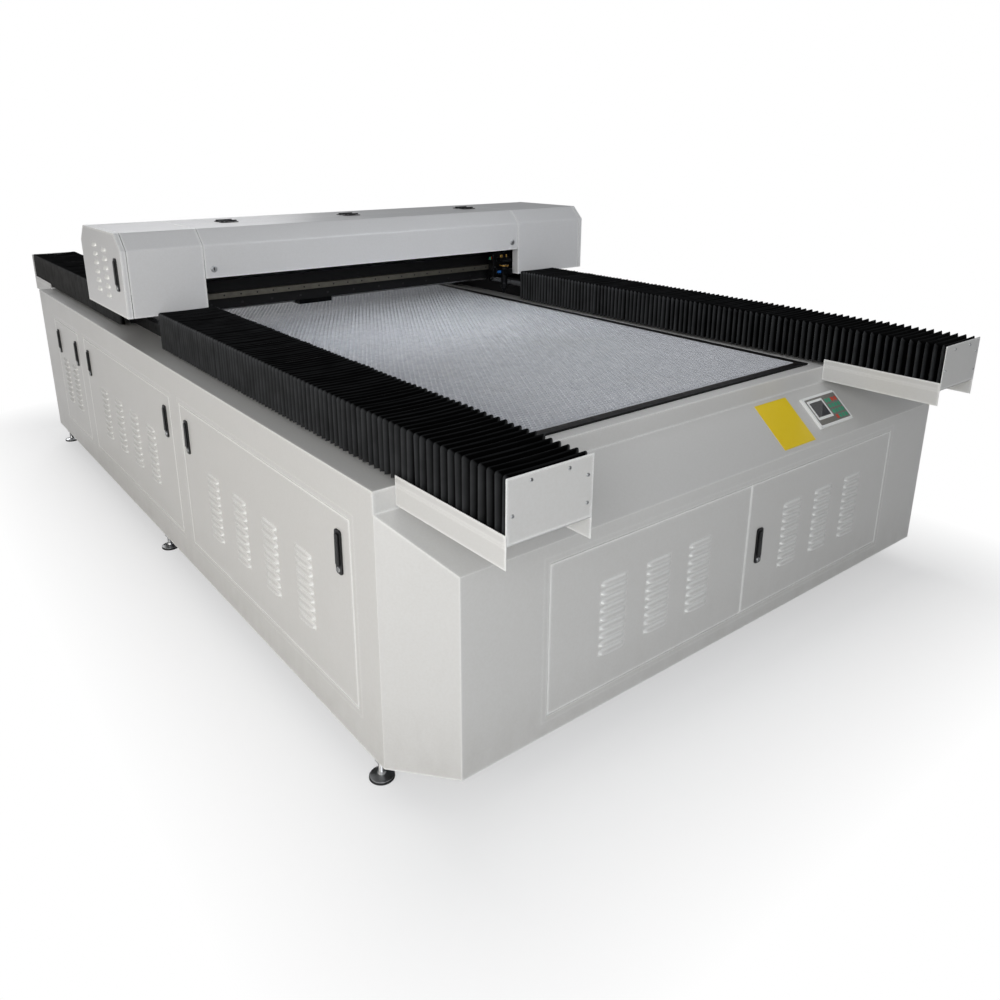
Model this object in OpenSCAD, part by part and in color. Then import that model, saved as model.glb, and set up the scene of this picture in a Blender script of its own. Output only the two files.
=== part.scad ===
// Flatbed carbon dioxide laser engraving machine: a flying gantry over a
// honeycomb bed, in a sheet steel cabinet. Millimetres, +Z up, front is -Y.

/* [Cabinet] */
// Width across the cabinet's side walls
cab_w = 2050; // [1950:5:2200]
// Length from the console's front face to the rear wall
cab_l = 3200; // [3100:10:3400]
// Height of the cabinet's lower edge above the floor
cab_z0 = 76; // [60:1:90]
// Height of the flat top ledge
ledge_z = 737; // [715:1:760]
// Thickness of the cabinet's sheet steel
wall = 3; // [2:0.5:4]
// Depth of the operator console in front of the step
console_d = 134; // [110:1:170]
// Height of the upright step behind the console's slope
step_h = 50; // [35:1:70]
// Height of the console's front top edge
console_z = 568; // [545:1:600]
// Width of the chamfer at the left front corner
chamfer_w = 114; // [90:1:140]
// Overlap of a door or panel on its stop lip
lip = 14; // [10:1:20]
// Gap around each door and panel
gap = 2; // [1.5:0.5:3]

/* [Doors and panels] */
// Width of one front door leaf
leaf_w = 724; // [660:2:740]
// Height of a front door leaf
leaf_h = 388; // [350:2:400]
// Lower edge of the front door leaves
leaf_z0 = 130; // [125:1:150]
// Height of a side panel
panel_h = 464; // [400:2:480]
// Lower edge of the side panels
panel_z0 = 174; // [150:1:190]
// Length of the long side panels
panel_long = 1050; // [950:10:1080]
// Length of the narrow side panel
panel_short = 410; // [360:10:420]
// Length of one louvre
louvre_l = 88; // [80:2:120]
// Height of one louvre's hood
louvre_h = 13; // [10:1:15]
// Projection of one louvre's hood
louvre_d = 8; // [5:0.5:8.5]
// Vertical pitch of the louvres
louvre_p = 23; // [21:1:25]
// Louvres in one column
louvre_n = 9; // [7:1:10]
// Height of a latch handle
latch_h = 106; // [90:2:120]
// Width of a latch handle
latch_w = 27; // [22:1:34]
// Projection of a latch handle
latch_d = 9; // [7:1:12]

/* [Bed and rails] */
// Ledge between the left wall and the left bellows' channel
ledge_left = 53; // [45:1:60]
// Ledge between the right bellows' channel and the right wall
ledge_right = 253; // [245:1:265]
// Gap between the bed frame and a bellows' channel
bed_gap = 19; // [17:1:30]
// Length of the bed frame
bed_l = 2500; // [2300:10:2600]
// Gap from the step's edge to the bed frame
bed_set = 40; // [30:1:60]
// Height of the bed frame
bed_h = 45; // [40:1:50]
// Height of the bed above the ledge
bed_rise = 5; // [2:1:8]
// Width of the bed frame's side members
bed_bar = 30; // [24:1:40]
// Thickness of the honeycomb panel
comb_t = 20; // [16:1:24]
// Width of one bellows channel
tunnel_w = 203; // [196:1:210]
// Width of a rail beam
beam_w = 60; // [50:2:64]
// Height of the rail beams above the ledge
beam_rise = 40; // [34:1:44]
// Side of a linear rail's section
rail_s = 20; // [18:1:22]

/* [Bellows and trays] */
// Overhang of each end tray
tray_l = 350; // [320:5:400]
// Sheet thickness of the trays and gantry covers
sheet = 2; // [1.5:0.5:2.5]
// Height of a tray's side flange
tray_h = 65; // [55:1:80]
// Height of a tray's end plate above its web
plate_h = 123; // [115:1:130]
// Height of the bellows' ridges above the ledge
bellows_rise = 129; // [122:1:134]
// Depth of one bellows fold
fold_d = 20; // [16:1:24]
// Folds of one front bellows
front_folds = 90; // [60:2:96]
// Folds of one rear bellows
rear_folds = 74; // [60:2:90]
// Thickness of the bellows cloth
cloth = 1.5; // [1:0.1:2]

/* [Gantry] */
// Front face of the gantry from the cabinet's middle
gantry_y0 = -11; // [-200:1:200]
// Depth of the gantry along the machine
gantry_d = 479; // [460:1:500]
// Height of the gantry's top above the floor
gantry_top = 1120; // [1100:1:1140]
// Lower edge of the gantry housings
gantry_z0 = 853; // [846:1:860]
// Chamfer along the gantry's upper edges, as a share of its height
gantry_cut = 0.195; // [0.15:0.005:0.22]
// Overhang of the gantry beyond the cabinet's left wall
gantry_over = 35; // [20:1:60]
// Gap from the gantry's right end to the cabinet's right wall
gantry_in = 87; // [60:1:110]
// Depth of a gantry end door
end_door_t = 19; // [15:1:25]
// Length of the left housing
housing_l = 244; // [236:1:250]
// Length of the right housing
housing_r = 355; // [345:1:365]
// Slot below the front lid, as a share of the gantry's height
slot_cut = 0.397; // [0.37:0.001:0.42]
// Width of the fixed strip between the lids
strip_w = 50; // [40:1:60]
// Side of the gantry's box beam
box_beam = 100; // [90:1:104]
// Thickness of the gantry's saddle plates
saddle_t = 12; // [10:1:14]

/* [Laser and drives] */
// Distance from the right housing to the lens tube's centre
head_in = 36; // [34:1:80]
// Width of the head carriage
head_w = 90; // [80:2:96]
// Diameter of the lens tube
lens_d = 30; // [26:1:32]
// Diameter of the laser tube
tube_d = 80; // [60:2:84]
// Length of the laser tube
tube_l = 1200; // [1000:10:1250]
// Diameter of the cross shaft that drives both sides
shaft_d = 20; // [16:1:22]
// Diameter of a drive pulley on the cross shaft
drive_d = 40; // [36:1:42]
// Diameter of a head belt pulley
pulley_d = 31; // [28:1:33]
// Side of the head drive motor
motor_s = 57; // [56:1:60]
// Clearance of sliding faces
slip = 0.3; // [0.2:0.05:0.4]
// Radial clearance of turning shafts
run = 0.05; // [0.03:0.01:0.08]

/* [Fittings] */
// Diameter of the extraction collar
collar_d = 200; // [150:5:220]
// Length of the extraction collar
collar_l = 60; // [40:5:80]
// Width of the control panel
keypad_w = 172; // [150:2:200]
// Height of the control panel along the slope
keypad_h = 106; // [90:2:120]
// Distance from the right wall to the control panel's middle
keypad_x = 528; // [480:2:580]
// Side of the yellow notice plate
notice_s = 150; // [120:2:160]
// Distance from the right wall to the notice plate's middle
notice_x = 738; // [700:2:800]
// Width of the controller box
ctrl_w = 500; // [420:10:560]
// Length of the controller box
ctrl_l = 440; // [380:10:500]
// Height of the controller box
ctrl_h = 300; // [240:10:340]
// Distance from the right wall to the controller box
ctrl_x = 275; // [200:5:300]
// Diameter of a tray screw's head
screw_d = 8; // [6:1:10]
// Diameter of a levelling foot
foot_d = 60; // [50:2:80]

/* [Hidden] */
$fn = 48;
eps = 0.01;

paint = [0.80, 0.80, 0.78];
black = [0.05, 0.05, 0.06];
steel = [0.62, 0.63, 0.65];
dark = [0.22, 0.20, 0.19];

left_x = -cab_w / 2;
right_x = cab_w / 2;
front_y = -cab_l / 2;
rear_y = cab_l / 2;
step_y = front_y + console_d;
slope_rise = ledge_z - step_h - console_z;
slope_a = atan2(slope_rise, console_d);
function slope_z(y) = console_z + (y - front_y) * slope_rise / console_d;

// leaves are centred on the console's front face
leaf_mid = (left_x + chamfer_w + right_x) / 2;
panel_front_y = step_y + 103 + panel_long / 2;
panel_middle_y = panel_front_y + panel_long + 97;
panel_rear_y = panel_middle_y + (panel_long + panel_short) / 2 + 104;

comb_top = ledge_z + bed_rise;
axis_x = (ledge_left - ledge_right) / 2;
tunnel_in = (cab_w - ledge_left - ledge_right) / 2 - tunnel_w;
bed_w = 2 * (tunnel_in - bed_gap);
bed_x0 = axis_x - bed_w / 2;
bed_x1 = axis_x + bed_w / 2;
bed_y0 = step_y + bed_set;
bed_y1 = bed_y0 + bed_l;
bed_z0 = comb_top - bed_h;
bed_lip = 5;

rail_off = tunnel_in + tunnel_w / 2;
rail_x = [axis_x - rail_off, axis_x + rail_off];
beam_top = ledge_z + beam_rise;
rail_top = beam_top + rail_s;
rail_y0 = step_y + 20;
rail_y1 = rear_y - 20;
block_top = rail_top + rail_s;

gan_x0 = left_x - gantry_over;
gan_x1 = right_x - gantry_in;
gan_y1 = gantry_y0 + gantry_d;
seam_l = gan_x0 + end_door_t + housing_l;
seam_r = gan_x1 - end_door_t - housing_r;
saddle_top = block_top + saddle_t;
beam_y0 = gantry_y0 + 121;
beam_y1 = beam_y0 + box_beam;
shelf_y0 = gan_y1 - 168;
shelf_y1 = shelf_y0 + 80;
box_top = saddle_top + box_beam;
strip_y = gantry_y0 + gantry_d / 2;
gantry_h = gantry_top - gantry_z0;
gantry_c = gantry_h * gantry_cut;
lid_z0 = gantry_z0 + gantry_h * slot_cut;

belt_off = 52;
belt_w = 15;
belt_t = 2;
belt_z = beam_top + 7;
drive_z = belt_z + belt_t + slip + drive_d / 2;
drive_y = (beam_y1 + shelf_y0) / 2;

head_x = seam_r - head_in;
xr_z = saddle_top + box_beam / 2;
pulley_z = box_top + motor_s / 2;
pulley_y = beam_y0 + 10;
pulley_w = 16;
axle_d = 8;
pulley_x = [seam_l - 34, seam_r + 56];
xbelt_t = 1.7;
xbelt_r = pulley_d / 2 + slip;
lens_y = beam_y0 - 73;
nozzle_z = comb_top + 28;

bellows_z0 = ledge_z + 8;
bellows_z1 = ledge_z + bellows_rise;
web_z = ledge_z + 3;
tray_y0 = step_y - tray_l;
tray_y1 = rear_y + tray_l;
tray_x = [axis_x - tunnel_in - tunnel_w, axis_x + tunnel_in];

// the origin is the middle of the bounding box, on the floor
shift = [-(gan_x0 + right_x) / 2, -(tray_y0 + tray_y1) / 2, 0];
module place() translate(shift) children();

module box(x0, x1, y0, y1, z0, z1)
  translate([x0, y0, z0]) cube([x1 - x0, y1 - y0, z1 - z0]);
module prism_x(x0, x1, pts)
  translate([x0, 0, 0]) rotate([90, 0, 90]) linear_extrude(x1 - x0) polygon(pts);
module rod_x(x0, x1, y, z, d)
  translate([x0, y, z]) rotate([0, 90, 0]) cylinder(h = x1 - x0, d = d);
module rod_y(y0, y1, x, z, d)
  translate([x, y0, z]) rotate([-90, 0, 0]) cylinder(h = y1 - y0, d = d);
module rod_z(z0, z1, x, y, d)
  translate([x, y, z0]) cylinder(h = z1 - z0, d = d);

// ---- doors, panels and latches: outer face on y = 0, looking to -y ----

module louvre_spots(cols, pitch, z)
  for (i = [0 : cols - 1]) for (k = [0 : louvre_n - 1])
    translate([(i - (cols - 1) / 2) * pitch, 0, z + (k - (louvre_n - 1) / 2) * louvre_p])
      children();

module louvred_sheet(w, h, cols, pitch, z) {
  difference() {
    translate([-w / 2, 0, 0]) cube([w, wall, h]);
    louvre_spots(cols, pitch, z)
      translate([-louvre_l / 2, -1, -louvre_h / 2]) cube([louvre_l, wall + 2, louvre_h * 0.3]);
  }
  louvre_spots(cols, pitch, z)
    prism_x(-louvre_l / 2, louvre_l / 2, [[0, louvre_h / 2], [-louvre_d, -louvre_h / 2 + 2],
      [-louvre_d, -louvre_h / 2], [-louvre_d + 1, -louvre_h / 2], [0, louvre_h / 2 - 3]]);
}

module latch_handle() {
  translate([-latch_w / 2, -latch_d * 0.5, 0]) cube([latch_w, latch_d * 0.5, latch_h]);
  translate([-latch_w * 0.36, -latch_d, latch_h * 0.1]) cube([latch_w * 0.72, latch_d * 0.5 + eps, latch_h * 0.8]);
}

module on_left(y, z) translate([left_x, y, z]) rotate([0, 0, -90]) children();
module on_right(y, z) translate([right_x, y, z]) rotate([0, 0, 90]) children();

module latch_pair(len) {
  z = panel_h - 93 - latch_h / 2;
  for (s = [-1, 1]) translate([s * (len / 2 - 50), 0, z]) latch_handle();
}

// hole for a panel and the lip behind it, in the same local frame
module panel_cut(w, h) translate([-w / 2 - gap, -1, -gap]) cube([w + 2 * gap, wall + 1 + eps, h + 2 * gap]);
module panel_lip(w, h) difference() {
  translate([-w / 2 - gap - lip, wall - 1, -gap - lip]) cube([w + 2 * (gap + lip), sheet + 1, h + 2 * (gap + lip)]);
  translate([-w / 2 - gap, wall - 2, -gap]) cube([w + 2 * gap, 2, h + 2 * gap]);
  translate([-w / 2 + lip, 0, lip]) cube([w - 2 * lip, wall + sheet + 1, h - 2 * lip]);
}

module each_panel() {
  on_left(panel_front_y, panel_z0) children(0);
  on_left(panel_middle_y, panel_z0) children(0);
  on_left(panel_rear_y, panel_z0) children(1);
  on_right(panel_front_y, panel_z0) children(0);
  on_right(panel_middle_y, panel_z0) children(0);
}

// ---- cabinet ----

module plan(t) {
  fa = atan2(chamfer_w, console_d);
  linear_extrude(ledge_z + 20) polygon([[right_x - t, front_y + t], [right_x - t, rear_y - t],
    [left_x + t, rear_y - t], [left_x + t, step_y + t * tan(fa / 2)],
    [left_x + chamfer_w + t * tan(45 - fa / 2), front_y + t]]);
}

module side_profile(t) {
  tv = t / cos(slope_a);
  low = t > 0 ? cab_z0 - 1 : cab_z0;
  prism_x(left_x - 1, right_x + 1, [[front_y + t, low], [rear_y - t, low], [rear_y - t, ledge_z - t],
    [step_y + t, ledge_z - t], [step_y + t, slope_z(step_y + t) - tv], [front_y + t, slope_z(front_y + t) - tv]]);
}

module cabinet_body(t) intersection() { plan(t); side_profile(t); }

collar_z = 360;
inlet_x = right_x - 265;
inlet_z = 220;

module cabinet_shell() color(paint) place() {
  difference() {
    cabinet_body(0);
    cabinet_body(wall);
    // bed well and slots for the rail beams
    box(bed_x0 - gap, bed_x1 + gap, bed_y0 - gap, bed_y1 + gap, ledge_z - wall - 1, ledge_z + 1);
    for (x = rail_x) box(x - beam_w / 2 - 1, x + beam_w / 2 + 1, rail_y0 - 1, rail_y1 + 1, ledge_z - wall - 1, ledge_z + 1);
    // doors and panels
    translate([leaf_mid, front_y, leaf_z0]) panel_cut(2 * leaf_w + gap, leaf_h);
    each_panel() { panel_cut(panel_long, panel_h); panel_cut(panel_short, panel_h); }
    // extraction collar, inlet and rear vents
    rod_y(rear_y - wall - 1, rear_y + 1, axis_x, collar_z, collar_d - 2 * sheet);
    box(inlet_x - 26, inlet_x + 26, rear_y - wall - 1, rear_y + 1, inlet_z - 21, inlet_z + 21);
    for (sx = [-1, 1]) for (k = [0 : 9])
      box(axis_x + sx * 600 - 150, axis_x + sx * 600 + 150, rear_y - wall - 1, rear_y + 1, 300 + k * 24, 306 + k * 24);
  }
  translate([leaf_mid, front_y, leaf_z0]) panel_lip(2 * leaf_w + gap, leaf_h);
  each_panel() { panel_lip(panel_long, panel_h); panel_lip(panel_short, panel_h); }
  difference() {
    rod_y(rear_y - eps, rear_y + collar_l, axis_x, collar_z, collar_d);
    rod_y(rear_y - 1, rear_y + collar_l + 1, axis_x, collar_z, collar_d - 2 * sheet);
  }
}

tube_s = 40;
post_x = [left_x + wall + sheet + 2, right_x - wall - sheet - 2 - tube_s];
foot_y = [step_y + 60, (step_y + rear_y) / 2, rear_y - 70];
cross_y = [bed_y0 + 20, bed_y0 + bed_l * 0.25, bed_y0 + bed_l * 0.5, bed_y0 + bed_l * 0.75, bed_y1 - 60];
frame_top = ledge_z - wall;

module frame_weldment() color(steel) place() {
  // bottom ring, posts and top side members
  for (x = post_x) {
    box(x, x + tube_s, foot_y[0] - 40, rear_y - wall - 2, cab_z0, cab_z0 + tube_s);
    box(x, x + tube_s, foot_y[0] - 40, rear_y - wall - 2, frame_top - tube_s, frame_top);
    for (y = foot_y) box(x, x + tube_s, y - tube_s / 2, y + tube_s / 2, cab_z0, frame_top);
  }
  for (y = foot_y) box(post_x[0], post_x[1] + tube_s, y - tube_s / 2, y + tube_s / 2, cab_z0, cab_z0 + tube_s);
  box(post_x[0], post_x[1] + tube_s, foot_y[0] + 400, foot_y[0] + 440, cab_z0, cab_z0 + tube_s);
  // rail beams and the cross members that carry the bed
  for (x = rail_x) box(x - beam_w / 2, x + beam_w / 2, rail_y0, rail_y1, bed_z0 - tube_s, beam_top);
  for (y = cross_y) box(rail_x[0], rail_x[1], y, y + tube_s, bed_z0 - tube_s, bed_z0);
  for (y = [foot_y[0], foot_y[1], foot_y[2]])
    box(post_x[0], post_x[1] + tube_s, y - tube_s / 2, y + tube_s / 2, bed_z0 - 2 * tube_s, bed_z0 - tube_s);
}

module levelling_feet() color(dark) place()
  for (x = post_x) for (y = foot_y) {
    rod_z(0, 14, x + tube_s / 2, y, foot_d);
    rod_z(14 - eps, cab_z0, x + tube_s / 2, y, 16);
    translate([x + tube_s / 2, y, cab_z0 - 30]) cylinder(h = 12, d = 30, $fn = 6);
  }

module power_inlet() color(black) place() difference() {
  union() {
    box(inlet_x - 34, inlet_x + 34, rear_y, rear_y + 4, inlet_z - 29, inlet_z + 29);
    box(inlet_x - 25, inlet_x + 25, rear_y - 30, rear_y + eps, inlet_z - 20, inlet_z + 20);
    rod_y(rear_y + 4 - eps, rear_y + 26, inlet_x, inlet_z, 34);
  }
  rod_y(rear_y - 31, rear_y + 27, inlet_x, inlet_z, 18);
}

module bed_frame() color(dark) place() difference() {
  box(bed_x0, bed_x1, bed_y0, bed_y1, bed_z0, comb_top);
  box(bed_x0 + bed_bar, bed_x1 - bed_bar, bed_y0 + bed_bar, bed_y1 - bed_bar, bed_z0 + bed_lip, comb_top + 1);
  box(bed_x0 + bed_bar + 12, bed_x1 - bed_bar - 12, bed_y0 + bed_bar + 12, bed_y1 - bed_bar - 12, bed_z0 - 1, comb_top);
}

slat_n = 30;
module bed_slats() color(steel) place()
  for (k = [0 : slat_n - 1])
    translate([0, bed_y0 + bed_bar + 40 + k * (bed_l - 2 * bed_bar - 80) / (slat_n - 1), 0])
      box(bed_x0 + bed_bar + 1, bed_x1 - bed_bar - 1, -1.5, 1.5, bed_z0 + bed_lip, comb_top - comb_t);

comb_cols = 8;
comb_rows = 15;
module honeycomb_bed() color([0.78, 0.80, 0.82]) place() {
  w = bed_w - 2 * bed_bar - 2;
  l = bed_l - 2 * bed_bar - 2;
  px = w / comb_cols;
  py = l / comb_rows;
  translate([axis_x, bed_y0 + bed_l / 2, comb_top - comb_t]) difference() {
    translate([-w / 2, -l / 2, 0]) cube([w, l, comb_t]);
    for (i = [0 : comb_cols - 1]) for (j = [0 : comb_rows - 1])
      translate([(i - (comb_cols - 1) / 2) * px, (j - (comb_rows - 1) / 2) * py, -1])
        cylinder(h = comb_t + 2, d = px * 0.9, $fn = 6);
  }
}

module rail(x) place() box(x - rail_s / 2, x + rail_s / 2, rail_y0, rail_y1, beam_top, rail_top);
module linear_rail_left() color(steel) rail(rail_x[0]);
module linear_rail_right() color(steel) rail(rail_x[1]);

// toothed strip on two clamp blocks; s is the side the bed is on
module y_belt(x, s) place() {
  xc = x + s * belt_off;
  box(xc - belt_w / 2, xc + belt_w / 2, rail_y0, rail_y1, belt_z, belt_z + belt_t);
  for (y = [rail_y0, rail_y1 - 40]) box(xc - belt_w / 2, xc + belt_w / 2, y, y + 40, ledge_z, belt_z + eps);
}
module y_belt_left() color(black) y_belt(rail_x[0], 1);
module y_belt_right() color(black) y_belt(rail_x[1], -1);

// end tray: flanges, web and folded-up end plate; d is the way it sticks out
module tray(x, y, d) place() translate([x, y, 0]) {
  y0 = d < 0 ? -tray_l : 0;
  for (fx = [0, tunnel_w - sheet]) box(fx, fx + sheet, y0, y0 + tray_l, ledge_z - 43, ledge_z - 43 + tray_h);
  box(0, tunnel_w, y0, y0 + tray_l, web_z - sheet, web_z);
  py = d < 0 ? -tray_l : tray_l - sheet;
  box(0, tunnel_w, py, py + sheet, web_z - sheet, web_z + plate_h);
}
module tray_front_left() color(paint) tray(tray_x[0], step_y, -1);
module tray_front_right() color(paint) tray(tray_x[1], step_y, -1);
module tray_rear_left() color(paint) tray(tray_x[0], rear_y, 1);
module tray_rear_right() color(paint) tray(tray_x[1], rear_y, 1);

module tray_screws() color(steel) place()
  for (x = tray_x) for (e = [[tray_y0 - screw_d / 4, tray_y0], [tray_y1, tray_y1 + screw_d / 4]])
    for (p = [[0.07, 0.42], [0.27, 0.88], [0.70, 0.88], [0.93, 0.68], [0.93, 0.24]])
      rod_y(e[0], e[1], x + p[0] * tunnel_w, web_z + p[1] * plate_h, screw_d);

module on_slope(x, y) translate([x, y, slope_z(y)]) rotate([slope_a, 0, 0]) children();
slope_mid = (front_y + step_y) / 2;

module control_panel() color([0.86, 0.87, 0.86]) place() on_slope(right_x - keypad_x, slope_mid) {
  difference() {
    translate([-keypad_w / 2, -keypad_h / 2, 0]) cube([keypad_w, keypad_h, 8]);
    translate([-keypad_w * 0.38, -keypad_h * 0.2, 6]) cube([keypad_w * 0.36, keypad_h * 0.5, 3]);
  }
  for (i = [0 : 3]) for (j = [0 : 3])
    translate([keypad_w * (0.06 + 0.1 * i), keypad_h * (-0.36 + 0.2 * j), 8 - eps])
      cube([keypad_w * 0.07, keypad_h * 0.13, 0.8]);
}

module notice_plate() color([0.90, 0.78, 0.05]) place() on_slope(right_x - notice_x, slope_mid)
  translate([-notice_s / 2, -notice_s / 2, 0]) cube([notice_s, notice_s, 1.2]);

module controller_box() color(dark) place()
  translate([right_x - ctrl_x - ctrl_w, foot_y[0] - 10, cab_z0 + tube_s]) difference() {
    cube([ctrl_w, ctrl_l, ctrl_h]);
    for (k = [2 : 9]) translate([k * ctrl_w / 20, -1, ctrl_h * 0.2]) cube([ctrl_w / 50, 4, ctrl_h * 0.6]);
  }

module front_leaf(s) place() translate([leaf_mid + s * (leaf_w + gap) / 2, front_y, leaf_z0])
  louvred_sheet(leaf_w, leaf_h, 3, 158, leaf_h / 2 - 3);
module front_door_left() color(paint) front_leaf(-1);
module front_door_right() color(paint) front_leaf(1);
module front_door_latch() color(black) place()
  translate([leaf_mid + gap / 2 + 54, front_y, leaf_z0 + leaf_h / 2 - latch_h / 2]) latch_handle();

louvre_mid = panel_h * 0.44;
module long_panel() louvred_sheet(panel_long, panel_h, 4, 192, louvre_mid);
module side_panel_left_front() color(paint) place() on_left(panel_front_y, panel_z0) long_panel();
module side_panel_left_middle() color(paint) place() on_left(panel_middle_y, panel_z0) long_panel();
module side_panel_left_rear() color(paint) place() on_left(panel_rear_y, panel_z0)
  louvred_sheet(panel_short, panel_h, 2, 160, louvre_mid);
module side_panel_right_front() color(paint) place() on_right(panel_front_y, panel_z0) long_panel();
module side_panel_right_rear() color(paint) place() on_right(panel_middle_y, panel_z0) long_panel();
module latches_left_front() color(black) place() on_left(panel_front_y, panel_z0) latch_pair(panel_long);
module latches_left_middle() color(black) place() on_left(panel_middle_y, panel_z0) latch_pair(panel_long);
module latches_left_rear() color(black) place() on_left(panel_rear_y, panel_z0) latch_pair(panel_short);
module latches_right_front() color(black) place() on_right(panel_front_y, panel_z0) latch_pair(panel_long);
module latches_right_rear() color(black) place() on_right(panel_middle_y, panel_z0) latch_pair(panel_long);

// ---- gantry ----

saddle_x = [[rail_x[0] - 60, rail_x[0] + 88], [rail_x[1] - 88, rail_x[1] + 60]];
pulley_mid = [rail_x[0] + belt_off, rail_x[1] - belt_off];

module gantry_beam() color(black) place() {
  difference() {
    union() {
      for (s = saddle_x) {
        box(s[0], s[1], gantry_y0, gan_y1, block_top, saddle_top);
        // bellows flanges below the housings
        for (y = [gantry_y0, gan_y1 - 3]) box(s[0], s[1], y, y + 3, bellows_z0 + 2, gantry_z0);
      }
      for (k = [0, 1]) {
        // portal plates that hold the housings up
        px = rail_x[k] - 5;
        box(px, px + 10, gantry_y0 + 70, gan_y1 - 70, saddle_top - eps, gantry_top - sheet);
        // bearing plates of the cross shaft
        bx = pulley_mid[k] + (k == 0 ? 12 : -22);
        box(bx, bx + 10, drive_y - 22, drive_y + 22, drive_z - 18, saddle_top);
      }
      box(saddle_x[0][0], saddle_x[1][1], beam_y0, beam_y1, saddle_top - eps, box_top);
      box(saddle_x[0][0], saddle_x[1][1], shelf_y0, shelf_y1, saddle_top - eps, saddle_top + tube_s);
      // rests of the laser tube and bracket of the idler
      for (x = [axis_x - tube_l * 0.35, axis_x + tube_l * 0.35])
        box(x - 15, x + 15, shelf_y0, shelf_y1, saddle_top + tube_s - eps, tube_z - tube_d / 2);
      box(pulley_x[1] - 20, pulley_x[1] + 20, pulley_y + pulley_w + 4, pulley_y + pulley_w + 14, box_top - eps, pulley_z + 20);
      rod_y(pulley_y - 2, pulley_y + pulley_w + 5, pulley_x[1], pulley_z, axle_d);
    }
    for (k = [0, 1]) {
      // passage for rail, belt and shaft pulley
      x0 = k == 0 ? rail_x[0] - 38 : pulley_mid[1] - 11;
      x1 = k == 0 ? pulley_mid[0] + 11 : rail_x[1] + 38;
      box(x0, x1, gantry_y0 - 1, gantry_y0 + 4, bellows_z0, block_top);
      box(x0, x1, gan_y1 - 4, gan_y1 + 1, bellows_z0, block_top);
      box(pulley_mid[k] - 11, pulley_mid[k] + 11, drive_y - drive_d / 2 - 5, drive_y + drive_d / 2 + 5, block_top - 1, saddle_top + 1);
    }
    rod_x(saddle_x[0][0] - 1, saddle_x[1][1] + 1, drive_y, drive_z, shaft_d + 2 * run);
  }
}

tube_z = saddle_top + tube_s + 25 + tube_d / 2;

function gantry_outline(t) = let (k = t * tan(22.5))
  [[gantry_y0 + t, gantry_z0 - (t > 0 ? 1 : 0)], [gan_y1 - t, gantry_z0 - (t > 0 ? 1 : 0)],
   [gan_y1 - t, gantry_top - gantry_c - k], [gan_y1 - gantry_c - k, gantry_top - t],
   [gantry_y0 + gantry_c + k, gantry_top - t], [gantry_y0 + t, gantry_top - gantry_c - k]];

// cover box with a bulkhead at the seam and an open outer end
module housing(x0, x1, seam) place() {
  difference() {
    prism_x(x0, x1, gantry_outline(0));
    prism_x(x0 - 1, x1 + 1, gantry_outline(sheet));
  }
  b0 = seam < (x0 + x1) / 2 ? x0 : x1 - sheet;
  difference() {
    prism_x(b0, b0 + sheet, gantry_outline(0));
    box(b0 - 1, b0 + sheet + 1, gantry_y0 + 36, gan_y1 - 36, gantry_z0 - 1, gantry_top - 66);
  }
}
module gantry_housing_left() color(paint) housing(gan_x0 + end_door_t, seam_l, seam_l);
module gantry_housing_right() color(paint) housing(seam_r, gan_x1 - end_door_t, seam_r);

module gantry_top_strip() color(paint) place() {
  box(seam_l, seam_r, strip_y - strip_w / 2, strip_y + strip_w / 2, gantry_top - sheet, gantry_top);
  for (x = [seam_l, seam_r - sheet])
    box(x, x + sheet, strip_y - strip_w / 2, strip_y + strip_w / 2, gantry_top - 40, gantry_top - sheet + eps);
}

hinge_x = [seam_l + 180, (seam_l + seam_r) / 2, seam_r - 110];
module lid_hinges() color(black) place()
  for (x = hinge_x) for (s = [-1, 1]) {
    y = strip_y + s * (strip_w / 2 - 2);
    rod_x(x - 30, x + 30, y, gantry_top + 4, 8);
    box(x - 30, x + 30, min(y, y - s * 14), max(y, y - s * 14), gantry_top, gantry_top + 3);
  }

// one folded sheet: s = -1 is the front lid, 1 the rear lid
module lid(s, low) place() {
  ye = s < 0 ? gantry_y0 : gan_y1;
  yt = strip_y + s * (strip_w / 2 + slip);
  k = sheet * tan(22.5);
  yc = ye - s * gantry_c;
  prism_x(seam_l + slip, seam_r - slip, [[yt, gantry_top], [yc, gantry_top], [ye, gantry_top - gantry_c], [ye, low],
    [ye - s * sheet, low], [ye - s * sheet, gantry_top - gantry_c - k], [yc - s * k, gantry_top - sheet], [yt, gantry_top - sheet]]);
}
module front_lid() color(paint) lid(-1, lid_z0);
module rear_lid() color(paint) lid(1, gantry_z0 + 20);

module cam_lock(x) place() {
  rod_y(gantry_y0 - 4, gantry_y0, x, lid_z0 + 30, 22);
  box(x - 2, x + 2, gantry_y0 - 6, gantry_y0 - 4 + eps, lid_z0 + 22, lid_z0 + 38);
}
module cam_lock_left() color(black) cam_lock(seam_l + 31);
module cam_lock_right() color(black) cam_lock(seam_r - 31);

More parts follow.
